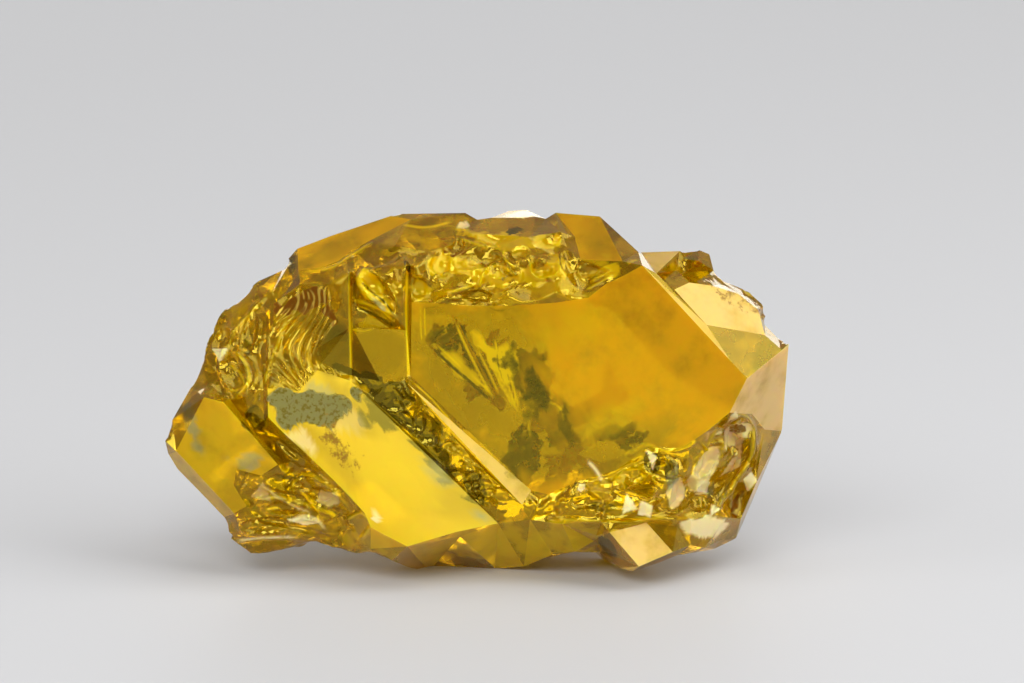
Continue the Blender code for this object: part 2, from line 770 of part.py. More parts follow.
def sulfur_material():
    """Clear yellow sulfur."""
    material = bpy.data.materials.new("sulfur")
    material.use_nodes = True
    shader = material.node_tree.nodes["Principled BSDF"]
    shader.inputs["Base Color"].default_value = (0.86, 0.52, 0.03, 1.0)
    shader.inputs["Roughness"].default_value = 0.08
    shader.inputs["IOR"].default_value = 2.0
    shader.inputs["Transmission Weight"].default_value = 1.0
    return material


def main():
    """Joins the front and the hull, and sets the crystal on its resting face."""
    for obj in list(bpy.data.objects):
        bpy.data.objects.remove(obj)
    mesh, points, rim = front_block()
    crystal = bpy.data.objects.new("sulfur_crystal", mesh)
    bpy.context.scene.collection.objects.link(crystal)
    hull = bpy.data.objects.new("back_hull", back_hull(points[rim]))
    bpy.context.scene.collection.objects.link(hull)
    cut = crystal.modifiers.new("back", "BOOLEAN")
    cut.operation = "INTERSECT"
    cut.solver = "EXACT"
    cut.object = hull
    graph = bpy.context.evaluated_depsgraph_get()
    finished = bpy.data.meshes.new_from_object(crystal.evaluated_get(graph))
    crystal.modifiers.clear()
    crystal.data = finished
    bpy.data.objects.remove(hull)
    places = np.array([vert.co[:] for vert in finished.vertices])
    low = places.min(axis=0)
    high = places.max(axis=0)
    shift = Matrix.Translation((-(low[0] + high[0]) / 2.0, -(low[1] + high[1]) / 2.0, -low[2]))
    finished.transform(shift)
    finished.materials.clear()
    finished.materials.append(sulfur_material())


main()
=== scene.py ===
"""Looks of a gemmy native sulfur crystal: clear yellow inside, flat faces with a pale bloom that is partly
a painted reflection of the lights, and broken areas with shells, flutes and ledges. Light and shade seen
inside the crystal are partly painted into its colour: dark places, bright flashes and pale glints.
Everything is placed by the plan, which is the crystal seen square on in photo pixels."""

import logging
import math
from dataclasses import dataclass
from enum import Enum
from typing import ClassVar

import bmesh
import bpy
import numpy as np
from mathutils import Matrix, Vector


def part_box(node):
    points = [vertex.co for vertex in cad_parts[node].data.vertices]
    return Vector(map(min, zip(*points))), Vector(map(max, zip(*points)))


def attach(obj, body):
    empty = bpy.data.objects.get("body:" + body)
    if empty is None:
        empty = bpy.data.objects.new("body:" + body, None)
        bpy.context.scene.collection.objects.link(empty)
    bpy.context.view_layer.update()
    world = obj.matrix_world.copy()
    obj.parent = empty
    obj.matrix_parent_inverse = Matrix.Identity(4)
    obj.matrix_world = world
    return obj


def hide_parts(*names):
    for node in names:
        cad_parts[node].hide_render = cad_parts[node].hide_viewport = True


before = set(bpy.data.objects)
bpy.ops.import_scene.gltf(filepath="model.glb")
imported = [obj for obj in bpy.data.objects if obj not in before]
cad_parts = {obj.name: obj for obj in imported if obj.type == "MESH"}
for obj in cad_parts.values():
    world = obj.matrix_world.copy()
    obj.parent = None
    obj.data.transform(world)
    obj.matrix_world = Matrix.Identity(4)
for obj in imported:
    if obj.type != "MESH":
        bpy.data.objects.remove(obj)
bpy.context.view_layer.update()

LOG = logging.getLogger("sulfur")
CRYSTAL_NODE = "sulfur_crystal"
BODY = "root"
PHOTO_WIDTH = 1024
PHOTO_HEIGHT = 683
PLAN_MIDDLE_PX = (477.0, 391.0)
PLAN_LEAN_DEG = 12.0
PLAN_WIDTH_PX = 623.0
# Left tip of the crystal and level of the ground that it rests on, as the part's source has them
PLAN_TIP = (-312.0, -50.0, 46.0)
PLAN_GROUND = -177.0
# Height of the main face over the plan: at the plan's middle, and its rise for each unit across and up
MAIN_FACE = (75.9, 0.1207, 0.1207)
SEED = 11
FLUTE_SEED = SEED + 9
ETCH_SEED = SEED + 20
FRAY_SEED = SEED + 40


@dataclass(frozen=True)
class Plan:
    """The crystal seen square on from the camera's side, in photo pixels from the plan's middle.

    The three coordinates are across (to the right), up and out (towards the camera).
    """

    middle_px: tuple[float, float]
    lean_deg: float
    unit_m: float
    origin: np.ndarray

    @classmethod
    def of_node(cls, node: str) -> "Plan":
        """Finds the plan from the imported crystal: its width gives the scale, its left tip the place.

        Args:
            node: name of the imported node.

        Returns:
            The plan that the node was drawn on.
        """
        low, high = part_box(node)
        unit = (high.x - low.x) / PLAN_WIDTH_PX
        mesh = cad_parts[node].data
        places = np.empty(len(mesh.vertices) * 3)
        mesh.vertices.foreach_get("co", places)
        leftmost = places.reshape(-1, 3)[places[::3].argmin()]
        plan = cls(PLAN_MIDDLE_PX, PLAN_LEAN_DEG, unit, np.zeros(3))
        aside = plan.to_world(np.array([PLAN_TIP]))[0]
        origin = np.array((leftmost[0] - aside[0], leftmost[1] - aside[1], -PLAN_GROUND * unit))
        return cls(plan.middle_px, plan.lean_deg, unit, origin)

    @property
    def axes(self) -> np.ndarray:
        """Rows: the plan's across, up and out directions in the world."""
        lean = math.radians(self.lean_deg)
        up = (0.0, math.sin(lean), math.cos(lean))
        out = (0.0, -math.cos(lean), math.sin(lean))
        return np.array(((1.0, 0.0, 0.0), up, out))

    def to_world(self, points: np.ndarray) -> np.ndarray:
        """Plan points to world points in metres."""
        return points @ self.axes * self.unit_m + self.origin

    def to_plan(self, points: np.ndarray) -> np.ndarray:
        """World points in metres to plan points."""
        return (points - self.origin) @ self.axes.T / self.unit_m

    def spot(self, across_px: float, down_px: float, out: float = 0.0) -> np.ndarray:
        """Plan point of a photo pixel at a height out of the plan."""
        return np.array((across_px - self.middle_px[0], self.middle_px[1] - down_px, out))


def lattice_noise(points: np.ndarray, seed: int) -> np.ndarray:
    """Smooth noise between -1 and 1: random values on a unit lattice, blended with the cubic s*s*(3-2s).

    Args:
        points: (n, 3) places, one lattice step per unit.
        seed: picks the random values.

    Returns:
        (n,) noise values.
    """
    size = 32
    table = np.random.default_rng(seed).uniform(-1.0, 1.0, (size, size, size))
    cell = np.floor(points).astype(int)
    part = points - cell
    part = part * part * (3.0 - 2.0 * part)
    total = np.zeros(len(points))
    for corner in np.ndindex(2, 2, 2):
        weight = np.prod(np.where(np.array(corner) == 1, part, 1.0 - part), axis=1)
        total += weight * table[tuple(((cell + corner) % size).T)]
    return total


def cell_distances(points: np.ndarray, seed: int) -> tuple[np.ndarray, np.ndarray, np.ndarray]:
    """Distances to the nearest and second nearest of scattered centres, one centre in each unit square.

    Args:
        points: (n, 2) places.
        seed: picks the centres.

    Returns:
        Nearest distance, second nearest distance and a random value of the nearest centre.
    """
    size = 64
    rng = np.random.default_rng(seed)
    centres = rng.uniform(0.08, 0.92, (size, size, 2))
    marks = rng.uniform(-1.0, 1.0, (size, size))
    cell = np.floor(points).astype(int)
    nearest = np.full(len(points), 9.0)
    second = np.full(len(points), 9.0)
    mark = np.zeros(len(points))
    for step in np.ndindex(3, 3):
        square = cell + np.array(step) - 1
        index = tuple((square % size).T)
        distance = np.linalg.norm(points - square - centres[index], axis=1)
        closer = distance < nearest
        second = np.where(closer, nearest, np.minimum(second, distance))
        mark = np.where(closer, marks[index], mark)
        nearest = np.where(closer, distance, nearest)
    return nearest, second, mark


@dataclass
class TriangleNet:
    """A closed surface as arrays: points, triangles, and for each triangle the flat face it belongs to."""

    points: np.ndarray
    faces: np.ndarray
    facets: np.ndarray
    rough: np.ndarray

    @classmethod
    def of_node(cls, node: str) -> "TriangleNet":
        """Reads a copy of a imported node's mesh with its loose triangles joined."""
        joined = bmesh.new()
        joined.from_mesh(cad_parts[node].data)
        bmesh.ops.remove_doubles(joined, verts=joined.verts, dist=1e-6)
        copy = bpy.data.meshes.new("joined")
        joined.to_mesh(copy)
        joined.free()
        points = np.empty(len(copy.vertices) * 3)
        copy.vertices.foreach_get("co", points)
        corners = np.empty(len(copy.loops), dtype=np.int32)
        copy.loops.foreach_get("vertex_index", corners)
        bpy.data.meshes.remove(copy)
        faces = corners.reshape(-1, 3).astype(int)
        return cls(points.reshape(-1, 3), faces, np.arange(len(faces)), np.zeros(len(faces), dtype=bool))

    def crosses(self) -> np.ndarray:
        """Triangle normals, each as long as twice the triangle's area."""
        a, b, c = (self.points[self.faces[:, corner]] for corner in range(3))
        return np.cross(b - a, c - a)

    def face_normals(self) -> np.ndarray:
        """Unit triangle normals."""
        crosses = self.crosses()
        return crosses / np.maximum(np.linalg.norm(crosses, axis=1, keepdims=True), 1e-18)

    def point_normals(self) -> np.ndarray:
        """Unit normals at the points, the mean of the triangles around each weighted by area."""
        total = np.zeros_like(self.points)
        for corner in range(3):
            np.add.at(total, self.faces[:, corner], self.crosses())
        return total / np.maximum(np.linalg.norm(total, axis=1, keepdims=True), 1e-18)

    def edges(self) -> tuple[np.ndarray, np.ndarray]:
        """Edges as pairs of points, and for each triangle the edges of its three sides."""
        sides = np.sort(self.faces[:, [[0, 1], [1, 2], [2, 0]]].reshape(-1, 2), axis=1)
        pairs, index = np.unique(sides, axis=0, return_inverse=True)
        return pairs, index.reshape(-1, 3)

    def group_facets(self, within_deg: float) -> None:
        """Gives neighbouring triangles that lie in one plane the same facet number.

        Args:
            within_deg: largest angle between neighbours of one facet.
        """
        _, sides = self.edges()
        order = np.argsort(sides.ravel(), kind="stable")
        owners = (order // 3).reshape(-1, 2)
        normals = self.face_normals()
        level = (normals[owners[:, 0]] * normals[owners[:, 1]]).sum(axis=1)
        first, second = owners[level > math.cos(math.radians(within_deg))].T
        labels = np.arange(len(self.faces))
        while True:
            low = np.minimum(labels[first], labels[second])
            spread = labels.copy()
            np.minimum.at(spread, first, low)
            np.minimum.at(spread, second, low)
            spread = spread[spread]
            if np.array_equal(spread, labels):
                break
            labels = spread
        self.facets = labels

    def facet_areas(self) -> np.ndarray:
        """For each triangle, the area of the whole facet that it belongs to."""
        areas = np.linalg.norm(self.crosses(), axis=1) / 2.0
        return np.bincount(self.facets, areas, minlength=len(self.faces))[self.facets]

    def split_edges(self, longest: float, chosen: np.ndarray) -> np.ndarray:
        """Halves every edge of the chosen triangles that is too long, and splits all triangles to fit.

        A triangle with one, two or three halved sides becomes two, three or four triangles.

        Args:
            longest: edges longer than this are halved.
            chosen: for each triangle, whether its edges may be halved.

        Returns:
            For each new triangle, whether it came from a chosen one.
        """
        pairs, sides = self.edges()
        lengths = np.linalg.norm(self.points[pairs[:, 0]] - self.points[pairs[:, 1]], axis=1)
        touched = np.zeros(len(pairs), dtype=bool)
        touched[sides[chosen].ravel()] = True
        halved = touched & (lengths > longest)
        middle = np.full(len(pairs), -1)
        middle[halved] = len(self.points) + np.arange(halved.sum())
        self.points = np.vstack((self.points, self.points[pairs[halved]].mean(axis=1)))
        count = halved[sides].sum(axis=1)
        whole = np.flatnonzero(count == 0)
        made, parents = [self.faces[whole]], [whole]
        for turn in range(3):
            corners = np.roll(self.faces, -turn, axis=1)
            cut = np.roll(sides, -turn, axis=1)
            on = halved[cut]
            a, b, c = corners.T
            ab, bc, ca = middle[cut].T
            one = (count == 1) & on[:, 0]
            two = (count == 2) & on[:, 0] & on[:, 1]
            three = (count == 3) & (turn == 0)
            shapes = (
                (one, ((a, ab, c), (ab, b, c))),
                (two, ((ab, b, bc), (a, ab, bc), (a, bc, c))),
                (three, ((a, ab, ca), (ab, b, bc), (ca, bc, c), (ab, bc, ca))),
            )
            for picked, parts in shapes:
                for part in parts:
                    made.append(np.stack(part, axis=1)[picked])
                    parents.append(np.flatnonzero(picked))
        origin = np.concatenate(parents)
        self.faces = np.vstack(made)
        self.facets = self.facets[origin]
        self.rough = self.rough[origin]
        return chosen[origin]

    def relaxed(self, values: np.ndarray, free: np.ndarray, rounds: int, pull: float) -> np.ndarray:
        """Values at the points, drawn towards the mean of their neighbours.

        Args:
            values: (n, k) values at the points.
            free: which points may change.
            rounds: how many times.
            pull: how far towards the mean each time, from 0 to 1.

        Returns:
            The smoothed values.
        """
        pairs, _ = self.edges()
        count = np.bincount(pairs.ravel(), minlength=len(self.points))[:, None]
        result = values.astype(float).copy()
        ends = np.concatenate((pairs[:, 0], pairs[:, 1]))
        others = np.concatenate((pairs[:, 1], pairs[:, 0]))
        for _ in range(rounds):
            columns = (np.bincount(ends, column[others], minlength=len(self.points)) for column in result.T)
            total = np.stack(tuple(columns), axis=1)
            moved = result + pull * (total / np.maximum(count, 1) - result)
            result[free] = moved[free]
        return result

    def to_mesh(self, name: str) -> bpy.types.Mesh:
        """A new mesh of the points and triangles."""
        mesh = bpy.data.meshes.new(name)
        mesh.from_pydata(self.points.tolist(), [], self.faces.tolist())
        return mesh


class Finish(Enum):
    """How a flat face of the crystal looks: bloom, haze and glow, each from 0 to 1. Haze is the milky
    inside;
    bloom is a pale film that is partly a painted reflection of the lights; glow is painted light, a brighter
    yellow on the long face, the wings and the sole.
    """

    GOLDEN = (0.0, 1.0, 0.0)
    CREAM = (1.0, 0.35, 0.0)
    PALE = (0.8, 0.3, 0.2)
    BRIGHT = (0.03, 0.40, 0.9)
    WING = (0.0, 1.0, 0.60)
    AMBER = (0.0, 0.85, 0.0)


@dataclass(frozen=True)
class FaceSpot:
    """A photo pixel on a flat face, and how that face is finished."""

    finish: Finish
    at_px: tuple[float, float]


FACE_SPOTS = (
    FaceSpot(Finish.GOLDEN, (640, 350)),
    FaceSpot(Finish.CREAM, (725, 320)),
    FaceSpot(Finish.CREAM, (765, 390)),
    FaceSpot(Finish.PALE, (695, 319)),
    FaceSpot(Finish.BRIGHT, (380, 470)),
    FaceSpot(Finish.WING, (215, 440)),
    FaceSpot(Finish.WING, (195, 480)),
    FaceSpot(Finish.PALE, (470, 438)),
    FaceSpot(Finish.CREAM, (640, 543)),
    FaceSpot(Finish.PALE, (662, 262)),
    FaceSpot(Finish.AMBER, (340, 245)),
    FaceSpot(Finish.WING, (540, 545)),
    FaceSpot(Finish.WING, (445, 546)),
    FaceSpot(Finish.WING, (475, 537)),
    FaceSpot(Finish.WING, (505, 548)),
    FaceSpot(Finish.WING, (578, 537)),
    FaceSpot(Finish.WING, (386, 546)),
    FaceSpot(Finish.AMBER, (590, 230)),
)


@dataclass(frozen=True)
class Front:
    """Points of the surface seen square on: their photo pixels and a noise that frays soft edges."""

    across: np.ndarray
    down: np.ndarray
    fray: np.ndarray
    fray_size: ClassVar[float] = 16.0

    @classmethod
    def of_places(cls, plan: Plan, places: np.ndarray) -> "Front":
        """Sees plan points square on; the noise is three lattice noises, each of half the size before."""
        across = places[:, 0] + plan.middle_px[0]
        down = plan.middle_px[1] - places[:, 1]
        scaled = places / cls.fray_size
        fray = sum(lattice_noise(scaled * 2.0**step, FRAY_SEED + step) / 2.0**step for step in range(3))
        return cls(across, down, fray)

    def reach(
        self, middle_px: tuple[float, float], half_px: tuple[float, float], turn_deg: float, corners: int = 0
    ) -> np.ndarray:
        """Distance from an oval's middle, 1 on its rim.

        With corners the rim is a stretched polygon: the distance is taken along the nearest side's normal.

        Args:
            middle_px: the oval's middle.
            half_px: half its length and half its width.
            turn_deg: its turn, positive where its length runs down to the right.
            corners: how many corners the rim has, 0 for an oval.

        Returns:
            The distances.
        """
        turn = math.radians(turn_deg)
        aside, below = self.across - middle_px[0], self.down - middle_px[1]
        along = (aside * math.cos(turn) + below * math.sin(turn)) / half_px[0]
        over = (below * math.cos(turn) - aside * math.sin(turn)) / half_px[1]
        if not corners:
            return np.hypot(along, over)
        sector = 2.0 * math.pi / corners
        angle = np.mod(np.arctan2(over, along), sector) - sector / 2.0
        return np.hypot(along, over) * np.cos(angle) / math.cos(sector / 2.0)


class Tint(Enum):
    """What lies over the crystal's own yellow: a clear window, painted shade (dull green and dark places),
    painted flashes, painted glints, tarnish, rust, and a sheen that is partly thin film and partly painted
    reflection. The value names its mesh attribute.
    """

    CLEAR = "clear"
    OLIVE_SHADE = "olive"
    DEPTH = "depth"
    FLASH = "flash"
    CREAM = "cream"
    TARNISH = "tarnish"
    RUST = "rust"
    SHEEN = "sheen"


@dataclass(frozen=True)
class Wash:
    """A soft blot of a tint on the front, in photo pixels: an oval, or a polygon if it has corners."""

    tint: Tint
    middle_px: tuple[float, float]
    half_px: tuple[float, float]
    turn_deg: float = 0.0
    strength: float = 1.0
    frayed: float = 0.3
    softness: float = 0.5
    corners: int = 0

    def amount(self, front: Front) -> np.ndarray:
        """How much of the tint lies at each point: full in the middle, falling to 0 across the soft rim.

        Args:
            front: the points.

        Returns:
            Amounts from 0 to the strength.
        """
        reach = front.reach(self.middle_px, self.half_px, self.turn_deg, self.corners)
        reach = reach + self.frayed * front.fray
        share = np.clip((1.0 + self.softness / 2.0 - reach) / self.softness, 0.0, 1.0)
        return self.strength * share * share * (3.0 - 2.0 * share)


def smooth_path(points: tuple[tuple[float, float], ...], steps: int = 8) -> np.ndarray:
    """A curve through points. Each stretch is the cubic with end slopes of half the chord of the neighbours.

    Args:
        points: the points that it passes.
        steps: short straight lines in each stretch.

    Returns:
        (m, 2) points along it.
    """
    given = np.array(points, dtype=float)
    padded = np.vstack((2.0 * given[0] - given[1], given, 2.0 * given[-1] - given[-2]))
    before, start, end, after = padded[:-3], padded[1:-2], padded[2:-1], padded[3:]
    part = np.linspace(0.0, 1.0, steps, endpoint=False)[:, None, None]
    curve = 2.0 * start + (end - before) * part
    curve = curve + (2.0 * before - 5.0 * start + 4.0 * end - after) * part**2
    curve = curve + (3.0 * start - before - 3.0 * end + after) * part**3
    return np.vstack(((0.5 * curve).transpose(1, 0, 2).reshape(-1, 2), given[-1]))


@dataclass(frozen=True)
class Stroke:
    """A curved line on the front through photo pixels: a ridge or a step, with a tint. A bright tint paints
    a highlight along it, a dark one paints shade in it.
    """

    points_px: tuple[tuple[float, float], ...]
    width: float = 2.0
    ridge: float = 0.0
    step: float = 0.0
    tint: Tint | None = None
    strength: float = 0.8

    def near(self, front: Front) -> tuple[np.ndarray, np.ndarray, np.ndarray]:
        """Finds the points near the line.

        Args:
            front: the points.

        Returns:
            The near points' numbers, their signed distances from the line, and their fade towards its ends.
        """
        path = smooth_path(self.points_px)
        margin = 6.0 * self.width
        places = np.stack((front.across, front.down), axis=1)
        inside = np.all((places > path.min(axis=0) - margin) & (places < path.max(axis=0) + margin), axis=1)
        picked = np.flatnonzero(inside)
        starts, chords = path[:-1], np.diff(path, axis=0)
        offsets = places[picked][:, None, :] - starts
        along = np.clip((offsets * chords).sum(axis=2) / (chords**2).sum(axis=1), 0.0, 1.0)
        gaps = offsets - along[:, :, None] * chords
        distances = np.linalg.norm(gaps, axis=2)
        best = distances.argmin(axis=1)
        rows = np.arange(len(picked))
        side = np.sign(chords[best, 0] * offsets[rows, best, 1] - chords[best, 1] * offsets[rows, best, 0])
        place = (best + along[rows, best]) / len(chords)
        fade = np.clip(np.minimum(place, 1.0 - place) / 0.15 + 0.15, 0.0, 1.0)
        return picked, distances[rows, best] * side, fade

    def amount(self, front: Front) -> np.ndarray:
        """How much of the tint lies at each point: the bell curve exp(-(distance / width)^2)."""
        total = np.zeros(len(front.across))
        picked, distance, fade = self.near(front)
        total[picked] = self.strength * fade * np.exp(-((distance / self.width) ** 2))
        return total

    def height(self, front: Front) -> np.ndarray:
        """Height that the line adds: a bell curve for the ridge, and for the step a rise that dies away.

        Args:
            front: the points.

        Returns:
            Heights in plan units.
        """
        total = np.zeros(len(front.across))
        if self.ridge or self.step:
            picked, distance, fade = self.near(front)
            bell = np.exp(-((distance / self.width) ** 2))
            rise = np.tanh(distance / self.width) * np.exp(-((distance / (3.5 * self.width)) ** 2))
            total[picked] = fade * (self.ridge * bell + self.step * rise)
        return total


@dataclass(frozen=True)
class ShellBreak:
    """A round shell-like hollow with a raised rim and faint rings, in photo pixels and plan units."""

    middle_px: tuple[float, float]
    half_px: tuple[float, float]
    turn_deg: float = 0.0
    depth: float = 5.0
    rings: float = 0.0

    def height(self, front: Front) -> np.ndarray:
        """Height of the hollow: the square of the distance less 1 inside, a bell curve at the rim, and a
        cosine of the distance for the rings."""
        reach = front.reach(self.middle_px, self.half_px, self.turn_deg) + 0.06 * front.fray
        hollow = np.minimum(reach**2 - 1.0, 0.0) * self.depth
        rim = 0.30 * abs(self.depth) * np.exp(-(((reach - 1.0) / 0.16) ** 2))
        rings = 0.5 * np.cos(2.0 * math.pi * self.rings * reach) * np.clip(1.3 - reach, 0.0, 1.0)
        return hollow + rim + (rings if self.rings else 0.0)


SHELL_BREAKS = (
    ShellBreak((501, 279), (20, 14), -20.0, 6.0, 3.0),
    ShellBreak((544, 269), (14, 10), 0.0, 5.0, 2.0),
    ShellBreak((441, 263), (10, 13), 10.0, 4.0),
    ShellBreak((418, 287), (10, 13), 0.0, 4.0),
    ShellBreak((567, 263), (8, 12), 0.0, 3.5),
    ShellBreak((477, 259), (24, 11), -12.0, 4.5, 2.0),
    ShellBreak((596, 270), (17, 8), -15.0, 3.5),
    ShellBreak((470, 298), (26, 8), -8.0, 4.0, 2.0),
    ShellBreak((521, 254), (9, 8), 0.0, 3.0),
    ShellBreak((455, 245), (11, 8), 0.0, 3.0),
    ShellBreak((556, 237), (6, 6), 0.0, 3.0),
    ShellBreak((380, 292), (26, 10), 50.0, 6.0),
    ShellBreak((235, 372), (22, 13), 70.0, 5.0, 3.0),
    ShellBreak((222, 340), (14, 9), -60.0, 4.0),
    ShellBreak((250, 335), (24, 8), -75.0, 4.0),
    ShellBreak((290, 505), (24, 9), -10.0, 4.5, 3.0),
    ShellBreak((265, 525), (26, 8), -5.0, 4.5, 2.0),
    ShellBreak((325, 497), (17, 10), 20.0, 4.0),
    ShellBreak((285, 482), (20, 7), 10.0, 4.0),
    ShellBreak((336, 524), (16, 9), -20.0, 4.0),
    ShellBreak((590, 500), (22, 9), -8.0, 4.5),
    ShellBreak((630, 478), (18, 10), -30.0, 5.0, 2.0),
    ShellBreak((662, 470), (12, 13), 0.0, 5.0),
    ShellBreak((708, 455), (26, 8), -62.0, 6.0, 2.0),
    ShellBreak((724, 475), (26, 7), -60.0, 6.0),
    ShellBreak((742, 448), (13, 8), -70.0, 6.0),
    ShellBreak((700, 502), (14, 10), 0.0, 5.0),
    ShellBreak((668, 505), (18, 8), 0.0, 4.0),
    ShellBreak((725, 300), (16, 8), 20.0, 3.5),
    ShellBreak((745, 312), (10, 12), 0.0, 3.5),
)


@dataclass(frozen=True)
class BrokenArea:
    """An area of the front without flat faces: place and half size in photo pixels, pitch and height."""

    middle_px: tuple[float, float]
    half_px: tuple[float, float]
    pitch: tuple[float, float]
    height: float

    def weight(self, front: Front) -> np.ndarray:
        """How much the area counts at each point: 1 inside, fading to 0 past its rim."""
        return np.clip((1.2 - front.reach(self.middle_px, self.half_px, 0.0)) / 0.35, 0.0, 1.0)


BROKEN_AREAS = (
    BrokenArea((505, 268), (150, 46), (40.0, 24.0), 1.6),
    BrokenArea((228, 345), (42, 60), (18.0, 40.0), 1.6),
    BrokenArea((298, 500), (78, 54), (38.0, 18.0), 2.0),
    BrokenArea((620, 488), (92, 40), (26.0, 18.0), 2.4),
    BrokenArea((722, 480), (42, 66), (16.0, 34.0), 2.0),
    BrokenArea((738, 305), (56, 52), (12.0, 12.0), 2.0),
    BrokenArea((378, 300), (30, 44), (26.0, 18.0), 1.2),
    BrokenArea((440, 440), (110, 70), (15.0, 12.0), 3.0),
)


@dataclass(frozen=True)
class Flutes:
    """The wavy flutes on the upper left, in photo pixels and plan units."""

    middle_px: tuple[float, float] = (307.0, 352.0)
    half_px: tuple[float, float] = (34.0, 44.0)
    line_px: float = 323.0
    swing_px: float = 12.0
    swing_top_px: float = 302.0
    swing_length_px: float = 50.0
    pitch_px: float = 8.5
    pitch_swell: float = 0.12
    swell_length_px: float = 17.0
    wander: float = 0.4
    wander_size: float = 24.0
    ridge: float = 1.3

    def height(self, front: Front, places: np.ndarray) -> np.ndarray:
        """Height of the flutes, in plan units.

        They follow a line that swings like a cosine down the plan. The height is twice the absolute sine of
        the distance across it less one, which gives round ridges between sharp valleys.

        Args:
            front: the points seen square on.
            places: (n, 3) plan points.

        Returns:
            (n,) heights.
        """
        fall = (front.down - self.swing_top_px) / self.swing_length_px
        line = self.line_px + self.swing_px * np.cos(math.pi * fall)
        pitch = self.pitch_px * (1.0 + self.pitch_swell * np.sin(front.down / self.swell_length_px))
        wander = self.wander * lattice_noise(places / self.wander_size, FLUTE_SEED)
        phase = (line - front.across) / pitch + wander
        weight = np.clip((1.2 - front.reach(self.middle_px, self.half_px, 0.0)) / 0.4, 0.0, 1.0)
        return weight * (2.0 * np.abs(np.sin(math.pi * phase)) - 1.0) * self.ridge
